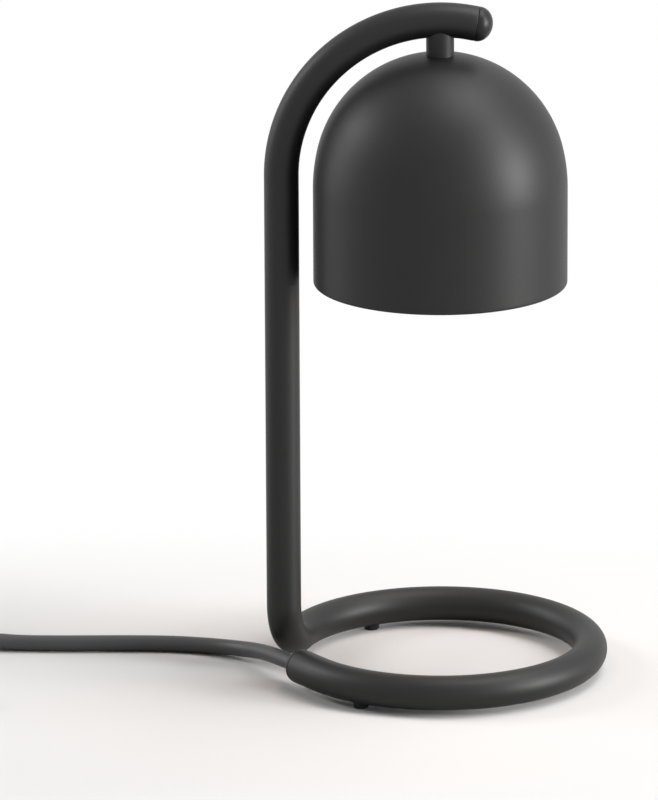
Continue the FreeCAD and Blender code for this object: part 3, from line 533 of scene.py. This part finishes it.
def makeCap(size, domeSteps=40, edgeSteps=5, segments=72):
    # a quarter ellipse on a short rim, with a hollow spigot that pushes into the tube
    f = np.linspace(0, math.pi / 2, domeSteps)
    dome = np.stack([size["radius"] * np.cos(f), size["rim"] + size["dome"] * np.sin(f)], 1)
    dome[-1, 0] = 0
    edge = arcOf(size["radius"] - size["edge"], size["edge"], size["edge"], -90, 0, edgeSteps)
    inside, spigot, bottom = size["spigot"] - size["wall"], size["spigot"], -size["spigotLength"]
    rest = [(0, 0), (inside, 0), (inside, bottom), (spigot, bottom), (spigot, 0.0)]
    grid = turnedGrid(np.concatenate([edge, dome, rest]), segments, armTip, tipHeading)
    return piece("armEndCap", [grid], capPlastic, replaces=["arm_end_cap"], sharp=50)


makeCap(capSize)

bushSize = {
    "radius": 8.0,
    "shoulder": cordSize["bushShoulder"],
    "shoulderStart": 3,
    "edge": 0.25,
    "spigot": 6.7,
    "depth": cordSize["bushDepth"],
    "bore": 3.82,
    "lip": 0.25,
}


def makeBush(size, shoulderSteps=24, lipSteps=5, segments=72):
    # a quarter-round shoulder down to the cord, with a small lip round its bore
    shoulder, lip = size["shoulder"], size["lip"]
    profile = np.concatenate([
        [(size["spigot"], 0.0), (size["radius"] - size["edge"], 0.0)],
        arcOf(size["radius"] - shoulder, 0, shoulder, size["shoulderStart"], 90, shoulderSteps),
        arcOf(size["bore"] + lip, shoulder - lip, lip, 90, 180, lipSteps),
        [(size["bore"], -size["depth"]), (size["spigot"], -size["depth"])],
    ])
    grid = turnedGrid(profile, segments, tubeEnd, ringHeading)
    return piece("cordBush", [grid], bushRubber, replaces=["cord_bush"], sharp=50)


makeBush(bushSize)

footSize = {"angles": (-122.7, -2.7, 117.3), "radius": 3.5, "edge": 0.6, "top": 3.6}


def makeFeet(size, edgeSteps=6, segments=40):
    # round pads with a soft lower edge; each runs up into the tube above it
    flat = size["radius"] - size["edge"]
    profile = np.concatenate([
        [(0, 0), (flat, 0)],
        arcOf(flat, size["edge"], size["edge"], -90, 0, edgeSteps),
        [(size["radius"], size["top"]), (0, size["top"])],
    ])
    places = [onCircle(frameSize["ring"], a) for a in size["angles"]]
    grids = [turnedGrid(profile, segments, place, closed=False) for place in places]
    return piece("rubberFeet", grids, softRubber, replaces=["rubber_feet"])


makeFeet(footSize)
print("frame made")


# shade, its stem and what hangs inside it

shadeSize = {
    "radius": 58.4,
    "rim": 185.85,
    "wallTop": 230.9,
    "shoulder": 78.2,
    "crown": 57.8,
    "wall": 1.0,
    "hem": 1.2,
    "hemEnd": 80,
    "hole": 5.05,
}
crownSpan = shadeSize["shoulder"] - shadeSize["crown"]
shoulderSweep = math.degrees(math.acos((shadeSize["shoulder"] - shadeSize["radius"]) / crownSpan))
crownHeight = shadeSize["wallTop"] + crownSpan * math.sin(math.radians(shoulderSweep))


def domeLine(size, inset, steps, wallSteps=12):
    # straight wall, shoulder arc and crown arc, up to the hole on the axis
    shoulderX, shoulder = size["radius"] - size["shoulder"], size["shoulder"] - inset
    crown = size["crown"] - inset
    top = math.degrees(math.acos(size["hole"] / crown))
    wall = np.stack([
        np.full(wallSteps, size["radius"] - inset),
        np.linspace(size["rim"] + 2 * size["hem"], size["wallTop"], wallSteps),
    ], 1)
    return np.concatenate([
        wall[:-1],
        arcOf(shoulderX, size["wallTop"], shoulder, 0, shoulderSweep, steps // 4),
        arcOf(0, crownHeight, crown, shoulderSweep, top, steps)[1:],
    ])


def makeShade(size, domeSteps=72, hemSteps=28, segments=288):
    # outer skin down, the hem rolled round under the rim, and inner skin up
    outer = domeLine(size, 0, domeSteps)
    inner = domeLine(size, size["wall"], domeSteps)
    hem = size["hem"]
    bead = arcOf(size["radius"] - hem, size["rim"] + hem, hem, 360, size["hemEnd"], hemSteps)
    grid = turnedGrid(np.concatenate([outer[::-1], bead, inner]), segments)
    return piece("lampShade", [grid], powderCoat, replaces=["shade"], sharp=60)


makeShade(shadeSize)

stemSize = {"radius": 6.4, "bore": 5.05, "sink": 0.25}


def makeStem(size, segments=96, steps=24):
    # a tube whose upper end follows the arm's underside and whose lower end follows the dome
    a = np.linspace(0, tau, segments, endpoint=False)[None, :]

    def skin(radius, shares):
        # a round wall at that radius, whose heights run from the dome's surface to the arm's
        x, y = radius * np.cos(a), radius * np.sin(a)
        under = armRadius - np.sqrt(frameSize["tube"] ** 2 - y**2)
        top = frameSize["spring"] + np.sqrt(under**2 - x**2) + size["sink"]
        foot = crownHeight + np.sqrt(shadeSize["crown"] ** 2 - radius**2) - size["sink"]
        z = foot + (top - foot) * shares[:, None]
        return np.stack(np.broadcast_arrays(x, y, z), -1)

    shares = np.linspace(0, 1, steps)
    points = np.concatenate([skin(size["radius"], shares), skin(size["bore"], shares[::-1])])
    grid = (points, gridQuads(2 * steps, segments, wrapRows=True))
    return piece("shadeStem", [grid], powderCoat, replaces=["shade_stem"], sharp=50)


makeStem(stemSize)
print("shade made")

bulbSize = {
    "seat": 0.3,
    "neck": 15.0,
    "neckDepth": 19.0,
    "neckBore": 4.6,
    "belly": 21.4,
    "bellyDepth": 30.0,
    "radius": 25.0,
    "rimDepth": 42.5,
    "length": 46.5,
    "edge": 0.4,
    "wall": 1.4,
    "flutes": 36,
    "flute": 0.22,
    "flutePitch": 8,
    "plainRows": 2,
}
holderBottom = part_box("lamp_holder")[0][2] / mm
bulbPlane = holderBottom - bulbSize["seat"]


def threePointArc(a, b, c, count):
    # circle through three (radius, height) points, sampled from the first to the last
    a, b, c = (np.asarray(p, dtype=float) for p in (a, b, c))
    system = np.array([b - a, c - b])
    right = np.array([(b @ b - a @ a) / 2, (c @ c - b @ b) / 2])
    centre = np.linalg.solve(system, right)
    angles = [math.atan2(*(p - centre)[::-1]) for p in (a, b, c)]
    angles = np.unwrap(angles)
    t = np.linspace(angles[0], angles[2], count)
    return centre + np.linalg.norm(a - centre) * np.stack([np.cos(t), np.sin(t)], 1)


def makeReflector(size, outerSteps=40, innerSteps=60, segments=288):
    # a bowl through neck, belly and rim; its inside is fluted and stepped to spread the light
    neckZ, bellyZ, rimZ, faceZ = (
        bulbPlane - size[key] for key in ("neckDepth", "bellyDepth", "rimDepth", "length")
    )
    wall, edge = size["wall"], size["edge"]
    radius, inside = size["radius"], size["radius"] - size["wall"]
    outer = threePointArc((size["neck"], neckZ), (size["belly"], bellyZ), (radius, rimZ), outerSteps)
    rim = [(radius, faceZ + edge), (radius - edge, faceZ)]
    rim += [(inside + edge / 2, faceZ), (inside, faceZ + edge / 2)]
    innerBelly, innerNeck = (size["belly"] - wall, bellyZ - wall / 2), (size["neck"] - wall, neckZ - wall)
    inner = threePointArc((inside, rimZ), innerBelly, innerNeck, innerSteps)
    bore = [(size["neckBore"], neckZ - wall), (size["neckBore"], neckZ)]
    profile = np.concatenate([outer, rim, inner, bore])
    first = len(outer) + len(rim) + size["plainRows"]
    last = first + len(inner) - 2 * size["plainRows"]

    def flutes(radius, height, angle):
        # only on the inside of the bowl: a cosine round it times a finer one along it
        rows = np.arange(len(profile))[:, None]
        fluted = ((rows > first) & (rows < last)).astype(float)
        wave = np.cos(size["flutes"] * angle) * np.cos(tau * (rows - first) / size["flutePitch"])
        return -size["flute"] * fluted * (1 - wave)

    grid = turnedGrid(profile, segments, ripple=flutes)
    replaced = ["bulb_reflector"]
    return piece("bulbReflector", [grid], mirrorGlass, "bulb", replaced, sharp=60)


makeReflector(bulbSize)

glassSize = {"inset": 0.3, "thickness": 1.8, "gap": 0.1, "edge": 0.3}


def makeFrontGlass(size, bulb, segments=144):
    # a flat disc with softened edges
    radius = bulb["radius"] - bulb["wall"] - size["gap"]
    low = bulbPlane - bulb["length"] + size["inset"]
    high = low + size["thickness"]
    profile = roundedProfile([(0, low), (radius, low), (radius, high), (0, high)], size["edge"])
    grid = turnedGrid(profile, segments, closed=False)
    return piece("bulbFrontGlass", [grid], clearGlass, "bulb", ["bulb_front_glass"])


makeFrontGlass(glassSize, bulbSize)

bulbCapSize = {"radius": 10.5, "chamfer": 1.5, "straight": 8.0, "edge": 0.7}


def makeBulbCap(size, bulb, segments=96):
    # the pressed block behind the bowl, its flats and flare in one profile
    radius, low = size["radius"], bulbPlane - bulb["neckDepth"]
    profile = roundedProfile([
        (0, bulbPlane),
        (radius - size["chamfer"], bulbPlane),
        (radius, bulbPlane - size["chamfer"]),
        (radius, bulbPlane - size["straight"]),
        (bulb["neck"], low),
        (0, low),
    ], size["edge"])
    grid = turnedGrid(profile, segments, closed=False)
    return piece("bulbCap", [grid], frostedGlass, "bulb", ["bulb_cap"])


makeBulbCap(bulbCapSize, bulbSize)
print("bulb made")


# dimmer on the cord

caseSize = {
    "centre": (-291.0, 31.5),
    "length": 64.0,
    "width": 32.0,
    "height": 16.0,
    "parting": 7.5,
    "corner": 11.0,
    "wall": 1.8,
    "baseEdge": 2.2,
    "coverEdge": 4.0,
    "coverSlope": 2.2,
    "middleGap": 2.0,
    "seam": 0.25,
    "neck": 4.45,
}
wheelSize = {
    "radius": 12.0,
    "bore": 3.05,
    "thickness": 4.4,
    "offset": 7.0,
    "gap": 0.4,
    "low": 6.8,
    "edge": 0.6,
    "knurls": 20,
    "depth": 0.7,
    "band": 1.2,
}


def caseShell(size, steps, perCorner=14):
    # rounded rectangles, one for each (inset, height) of the profile
    quarter = np.linspace(0, 90, perCorner + 1)
    a = np.radians((90 * np.arange(4)[:, None] + quarter).ravel())
    directions = np.stack([np.cos(a), np.sin(a)], 1)
    signs = np.repeat([(1, 1), (-1, 1), (-1, -1), (1, -1)], perCorner + 1, axis=0)
    halves = vec(size["length"] / 2, size["width"] / 2)
    inset = np.array([s[0] for s in steps])[:, None, None]
    height = np.array([s[1] for s in steps])[:, None]
    corner = np.maximum(size["corner"] - inset, 0.0)
    centre = np.maximum(halves - inset - corner, 0) * signs
    xy = centre + corner * directions + vec(*size["centre"])
    z = np.broadcast_to(height, xy.shape[:2])
    return np.concatenate([xy, z[..., None]], -1), gridQuads(len(steps), len(directions))


def capOff(points, quads):
    # closes the first and last rows of a grid with triangles to a point in their middle
    rows, cols = points.shape[:2]
    flat = np.concatenate([points.reshape(-1, 3), [points[0].mean(0)], [points[-1].mean(0)]])
    j = np.arange(cols)
    j2 = (j + 1) % cols
    last = (rows - 1) * cols
    low = np.stack([j2, j, np.full(cols, rows * cols)], 1)
    high = np.stack([last + j, last + j2, np.full(cols, rows * cols + 1)], 1)
    return flat, quads.tolist() + low.tolist() + high.tolist()


def cutWith(made, cutters):
    # takes the cutters' shapes out of a piece and keeps the result as its mesh
    for cutter in cutters:
        change = made.modifiers.new("cut", "BOOLEAN")
        change.operation = "DIFFERENCE"
        change.solver = "EXACT"
        change.object = cutter
    bpy.context.view_layer.update()
    graph = bpy.context.evaluated_depsgraph_get()
    mesh = bpy.data.meshes.new_from_object(made.evaluated_get(graph))
    made.modifiers.clear()
    old = made.data
    made.data = mesh
    bpy.data.meshes.remove(old)
    smoothMesh(mesh)
    for cutter in cutters:
        bpy.data.objects.remove(cutter)


def roundCutter(name, profile, origin, axis=(0, 0, 1), segments=96):
    # a profile turned round an axis, as a plain object to cut with
    points, quads = turnedGrid(profile, segments, origin, axis, closed=False)
    return makeMesh(name, points.reshape(-1, 3), quads.tolist())


def caseCutters(size, wheel):
    # a round room for the wheel, and a bore along the cord that runs out past both ends of the case
    x, y = size["centre"]
    low, high = wheel["low"] - wheel["gap"], wheel["low"] + wheel["thickness"] + wheel["gap"]
    reach, neck, far = wheel["radius"] + wheel["gap"], size["neck"], size["length"]
    room = [(0, low), (reach, low), (reach, high), (0, high)]
    bore = [(0, -far), (neck, -far), (neck, far), (0, far)]
    return [
        roundCutter("wheelRoom", room, (x, y - wheel["offset"], 0)),
        roundCutter("neckRoom", bore, (x, y, size["parting"]), (1, 0, 0), segments=48),
    ]


def roundedEdge(radius, z0, direction, count=8):
    # (inset, height) along a quarter round that starts on the flat and ends on the side
    f = np.linspace(0, math.pi / 2, count)
    return [(radius * (1 - math.sin(t)), z0 + direction * radius * (1 - math.cos(t))) for t in f]


def makeCase(size, wheel):
    # base and cover: up or down the outside to the parting, over the wall, and along the inside
    seam, wall, parting, top = size["seam"], size["wall"], size["parting"], size["height"]
    slope, middle = size["coverSlope"], size["width"] / 2 - size["middleGap"]
    lip = [(seam, parting), (wall, parting)]
    base = roundedEdge(size["baseEdge"], 0, 1) + [(0, parting - seam)] + lip
    base += [(wall, wall), (middle, wall)]
    cover = roundedEdge(size["coverEdge"], top, -1, count=12) + [(0, parting + seam)] + lip
    cover += [(wall, top - wall - slope), (wall + slope, top - wall), (middle, top - wall)]
    for name, steps, node in (("dimmerBase", base, "dimmer_base"), ("dimmerCover", cover, "dimmer_cover")):
        half = makeMesh(name, *capOff(*caseShell(size, steps)))
        cutWith(half, caseCutters(size, wheel))
        dress(half, casePlastic, "lamp", [node])


makeCase(caseSize, wheelSize)


def makeWheel(size, case, segments=480):
    # a disc whose rim carries round notches; the notch depth is a narrow bump repeated round it
    x, y = case["centre"]
    radius, bore, low, high = size["radius"], size["bore"], size["low"], size["low"] + size["thickness"]
    outline = [(bore, low), (radius, low), (radius, high), (bore, high)]
    profile = roundedProfile(outline, size["edge"], steps=6)

    def notches(radius, height, angle):
        # how far each angle is cut back: a half circle at every notch, in the outer band alone
        phase = (angle * size["knurls"] / tau) % 1.0 - 0.5
        across = np.abs(np.abs(phase) - 0.5) * tau * size["radius"] / size["knurls"]
        bite = np.sqrt(np.clip(size["depth"] ** 2 - across**2, 0, None))
        return -bite * (radius > size["radius"] - size["band"])

    grid = turnedGrid(profile, segments, (x, y - size["offset"], 0), ripple=notches)
    return piece("dimmerWheel", [grid], wheelPlastic, "wheel", ["dimmer_wheel"], sharp=40)


makeWheel(wheelSize, caseSize)

reliefSize = {
    "length": 22.0,
    "root": 5.8,
    "tip": 4.9,
    "lip": 0.5,
    "grooves": 4,
    "groove": 1.4,
    "grooveEase": 0.3,
    "depth": 0.7,
    "bore": 3.82,
    "boreDepth": 8.0,
    "flare": 0.6,
}
lipRows = 3  # rows of a grooved taper that its rounded lip takes the place of


def groovedTaper(size, root, tip, length, steps=120):
    # a straight taper less a row of smooth-sided grooves
    h = np.linspace(0, length, steps)
    pitch = length / (size["grooves"] + 1)
    centres = pitch * (np.arange(size["grooves"]) + 1)
    nearest = np.min(np.abs(h[:, None] - centres[None, :]), 1)
    ease = size["grooveEase"]
    edge = np.clip((size["groove"] / 2 + ease / 2 - nearest) / ease, 0, 1)
    radius = root + (tip - root) * h / length - size["depth"] * eased(edge)
    return np.stack([radius, h], 1)


def makeReliefs(size, case, lipSteps=5, segments=72):
    # a grooved taper on each side of the case, with a rounded lip and a flared mouth for the cord
    x, y = case["centre"]
    end, lipRadius, bore = size["length"], size["lip"], size["bore"]
    taper = groovedTaper(size, size["root"], size["tip"], end)
    lip = arcOf(size["tip"] - lipRadius, end - lipRadius, lipRadius, 0, 90, lipSteps)
    mouth = [(bore + size["flare"], end), (bore, end - size["boreDepth"]), (bore, 0.0)]
    profile = np.concatenate([taper[:-lipRows], lip, mouth])
    grids = [
        turnedGrid(profile, segments, (x + side * case["length"] / 2, y, case["parting"]), (side, 0, 0))
        for side in (-1, 1)
    ]
    replaced = ["dimmer_reliefs"]
    return piece("dimmerReliefs", grids, softRubber, replaces=replaced, sharp=45)


makeReliefs(reliefSize, caseSize)
print("dimmer made")


# plug

plugSize = {
    "tip": (-271.4, -64.8, 9.0),
    "heading": 21.6,
    "bore": 3.82,
    "boreDepth": 8.0,
    "boreEnd": 3.0,
    "mouth": 3.95,
    "relief": 20.0,
    "reliefTip": 4.9,
    "reliefLip": 0.5,
    "reliefRoot": 6.0,
    "neckWidth": 7.2,
    "neckHeight": 6.6,
    "shoulder": 8.0,
    "barrel": 14.0,
    "width": 13.0,
    "height": 9.0,
    "face": 1.6,
}


def makePlug(size, lipSteps=5, shoulderSteps=24, faceSteps=8, segments=96):
    # ovals along the plug's axis: a grooved relief, a smooth shoulder, a barrel and a rounded face
    relief = groovedTaper(reliefSize, size["reliefTip"], size["reliefRoot"], size["relief"])[lipRows:]
    s = np.linspace(0, 1, shoulderSteps)[1:]
    share = (1 - np.cos(math.pi * s)) / 2
    f = np.linspace(0, math.pi / 2, faceSteps)
    faceCut = size["face"] * (1 - np.cos(f))
    end = size["relief"] + size["shoulder"] + size["barrel"]
    tip = np.linspace(0, math.pi / 2, lipSteps)[::-1]
    tipRadii = size["reliefTip"] - size["reliefLip"] * (1 - np.cos(tip))
    x = np.concatenate([
        [size["boreDepth"], 0.0],
        size["reliefLip"] * (1 - np.sin(tip)),
        relief[:, 1],
        [size["relief"]],
        size["relief"] + size["shoulder"] * s,
        end - size["face"] * (1 - np.sin(f)),
        [end],
    ])

    def halfSizes(neck, full):
        # the oval's half width or half height at every station
        bore = [size["bore"], size["mouth"]]
        shoulder = neck + share * (full - neck)
        return np.concatenate([bore, tipRadii, relief[:, 0], [neck], shoulder, full - faceCut, [0.0]])

    w = halfSizes(size["neckWidth"], size["width"])
    h = halfSizes(size["neckHeight"], size["height"])
    a = np.linspace(0, tau, segments, endpoint=False)[None, :]
    heading, across = onCircle(1, size["heading"]), onCircle(1, size["heading"] + 90)
    points = (
        vec(*size["tip"])
        + x[:, None, None] * heading
        + (w[:, None] * np.cos(a))[..., None] * across
        + (h[:, None] * np.sin(a))[..., None] * vec(0, 0, 1)
    )
    points = np.concatenate([points[:1] + heading * size["boreEnd"], points])
    points[0] = points[0].mean(0)
    grid = (points, gridQuads(len(points), segments))
    return piece("plugBody", [grid], casePlastic, replaces=["plug_body"], sharp=40)


plugBody = makePlug(plugSize)

tieSize = {
    "angle": 60.0,
    "width": 9.0,
    "middle": 0.6,
    "thickness": 0.7,
    "margin": 0.15,
    "corner": 3.2,
    "lowest": 0.02,
}


def makeTie(size, plan, segments=96):
    # a strap round the bundle: a rounded rectangle in the plane across the turns
    inner = plan["inner"] - cordSize["radius"] - size["margin"]
    outer = plan["outer"] + cordSize["radius"] + size["margin"]
    low, high = size["margin"], plan["layers"][-1] + cordSize["radius"] + size["margin"]
    centre = vec((inner + outer) / 2, (low + high) / 2)
    half = vec((outer - inner) / 2, (high - low) / 2)
    a = np.linspace(0, tau, segments, endpoint=False)
    direction = np.stack([np.cos(a), np.sin(a)], 1)
    t, w = size["thickness"], size["width"] / 2
    m = w * size["middle"]
    stations = np.array([(0, -w), (t, -w), (t, -m), (t, m), (t, w), (0, w)])  # offset, place along
    offset, along = stations[:, :1, None], stations[:, 1:, None]
    outline = centre + np.sign(direction) * (half - size["corner"]) + (size["corner"] + offset) * direction
    outline[..., 1] = np.maximum(outline[..., 1], size["lowest"])
    points = (
        vec(*plan["centre"], 0)
        + outline[..., 0:1] * onCircle(1, size["angle"])
        + outline[..., 1:2] * vec(0, 0, 1)
        + along * onCircle(1, size["angle"] + 90)
    )
    grid = (points, gridQuads(len(stations), segments, wrapRows=True))
    return piece("cordTie", [grid], softRubber, sharp=40)


cordTie = makeTie(tieSize, coilPlan)
print("plug and tie made")


# looks of the nodes that stay as they are

nodeLooks = {
    "threaded_nipple": zincSteel,
    "shade_washer": zincSteel,
    "lock_nut": zincSteel,
    "holder_bracket": zincSteel,
    "holder_screws": zincSteel,
    "dimmer_screws": zincSteel,
    "lamp_holder": porcelain,
    "lamp_contacts": plainBrass,
    "bulb_pins": nickelBrass,
    "bulb_capsule": clearGlass,
    "bulb_filament": tungstenWire,
    "inner_cord": cordJacket,
    "inner_leads": siliconeLead,
    "lead_sleeves": glassSleeve,
    "dimmer_board": boardGreen,
    "dimmer_potentiometer": potPlastic,
    "dimmer_triac": chipPlastic,
    "dimmer_capacitor": filmYellow,
    "dimmer_choke": chokeFerrite,
    "dimmer_shaft": potPlastic,
    "plug_blades": nickelBrass,
}
for node, look in nodeLooks.items():
    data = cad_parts[node].data
    data.materials.clear()
    data.materials.append(look)
print("nodes finished")


# floor, world and lamps

def rayIsSeen(tree):
    # 1 for camera, glossy and transmission rays, 0 for the rest
    rays = tree.nodes.new("ShaderNodeLightPath").outputs
    either = mathNode(tree, "MAXIMUM", rays["Is Camera Ray"], rays["Is Glossy Ray"])
    return mathNode(tree, "MAXIMUM", either, rays["Is Transmission Ray"])


studio = {
    "floorSize": 12.0,
    "floorColour": (0.86, 0.845, 0.84),
    "floorRough": 0.9,
    "floorSpecular": 0.1,
    "litPatch": {"centre": (-0.14, -0.04), "squeeze": 0.5, "fade": (0.12, 0.28)},
    "skySeen": 1.0,
    "skyFill": 0.1,
    "lamps": [
        # name, place it shines from, size, power, colour
        ("keyLow", (2.84, -0.92, 0.46), (0.9, 0.9), 76, (1.0, 0.995, 0.99)),
        ("keyTall", (2.52, -0.82, 1.6), (0.8, 2.0), 52, (1.0, 0.995, 0.99)),
        ("crownHigh", (1.6, -0.1, 2.7), (0.9, 0.9), 13, (1.0, 1.0, 1.0)),
        ("leftLow", (-2.86, 0.87, 0.46), (0.9, 0.9), 9, (1.0, 1.0, 1.0)),
        ("leftHigh", (-2.53, 0.77, 1.61), (0.9, 0.9), 25, (1.0, 1.0, 1.0)),
        ("topSoftbox", (0.7, 0.0, 2.75), (1.2, 1.2), 25, (1.0, 1.0, 1.0)),
        ("topBack", (0.9, 1.07, 2.63), (1.0, 1.0), 7, (1.0, 1.0, 1.0)),
    ],
    "glow": {"height": 0.2098, "size": 0.045, "power": 0.05, "colour": (1.0, 0.74, 0.5)},
    "aim": (0.0, 0.0, 0.2),
}


def makeFloor(plan):
    # a square of paper, lit in an oval round lamp and cord and plain white beyond it
    half = plan["floorSize"] / 2
    corners = [(-half, -half, 0), (half, -half, 0), (half, half, 0), (-half, half, 0)]
    mesh = bpy.data.meshes.new("floor")
    mesh.from_pydata(corners, [], [(0, 1, 2, 3)])
    floor = bpy.data.objects.new("floor", mesh)
    scene.collection.objects.link(floor)
    paper = bpy.data.materials.new("floorPaper")
    paper.use_nodes = True
    tree = paper.node_tree
    nodes, links = tree.nodes, tree.links
    shader = nodes["Principled BSDF"]
    shader.inputs["Base Color"].default_value = (*plan["floorColour"], 1)
    shader.inputs["Roughness"].default_value = plan["floorRough"]
    shader.inputs["Specular IOR Level"].default_value = plan["floorSpecular"]
    place = nodes.new("ShaderNodeTexCoord")
    patch = plan["litPatch"]
    around = nodes.new("ShaderNodeMapping")
    x, y = patch["centre"]
    around.inputs["Location"].default_value = (-x * patch["squeeze"], -y, 0)
    around.inputs["Scale"].default_value = (patch["squeeze"], 1, 1)
    links.new(place.outputs["Object"], around.inputs["Vector"])
    distance = nodes.new("ShaderNodeVectorMath")
    distance.operation = "LENGTH"
    links.new(around.outputs["Vector"], distance.inputs[0])
    fade = nodes.new("ShaderNodeMapRange")
    fade.interpolation_type = "SMOOTHSTEP"
    fade.inputs["From Min"].default_value, fade.inputs["From Max"].default_value = patch["fade"]
    links.new(distance.outputs["Value"], fade.inputs["Value"])
    white = nodes.new("ShaderNodeEmission")
    white.inputs["Strength"].default_value = plan["skySeen"]
    mixed = nodes.new("ShaderNodeMixShader")
    links.new(mathNode(tree, "MULTIPLY", fade.outputs["Result"], rayIsSeen(tree)), mixed.inputs["Fac"])
    links.new(shader.outputs["BSDF"], mixed.inputs[1])
    links.new(white.outputs["Emission"], mixed.inputs[2])
    links.new(mixed.outputs["Shader"], nodes["Material Output"].inputs["Surface"])
    mesh.materials.append(paper)


def makeWorld(plan):
    # plain white where it is seen or mirrored, and a weak fill for everything else
    world = bpy.data.worlds.new("studio")
    scene.world = world
    world.use_nodes = True
    tree = world.node_tree
    sky = tree.nodes["Background"]
    strength = tree.nodes.new("ShaderNodeMapRange")
    strength.inputs["To Min"].default_value = plan["skyFill"]
    strength.inputs["To Max"].default_value = plan["skySeen"]
    tree.links.new(rayIsSeen(tree), strength.inputs["Value"])
    tree.links.new(strength.outputs["Result"], sky.inputs["Strength"])
    sky.inputs["Color"].default_value = (1, 1, 1, 1)


def makeLamp(name, place, size, power, colour, shape="RECTANGLE"):
    # an area lamp that shines straight down until it is turned
    data = bpy.data.lights.new(name, "AREA")
    data.shape = shape
    data.size, data.size_y = size
    data.energy = power
    data.color = colour
    lamp = bpy.data.objects.new(name, data)
    lamp.location = place
    scene.collection.objects.link(lamp)
    return lamp


def makeLamps(plan):
    # softboxes turned towards the shade, and the bulb's own warm light, down through its front glass
    for name, place, size, power, colour in plan["lamps"]:
        lamp = makeLamp(name, place, size, power, colour)
        aim = Vector(plan["aim"]) - Vector(place)
        lamp.rotation_euler = aim.to_track_quat("-Z", "Y").to_euler()
    glow = plan["glow"]
    size = (glow["size"], glow["size"])
    makeLamp("bulbGlow", (0, 0, glow["height"]), size, glow["power"], glow["colour"], "DISK")


makeFloor(studio)
makeWorld(studio)
makeLamps(studio)
scene.view_settings.view_transform = "Standard"
print("studio lit")
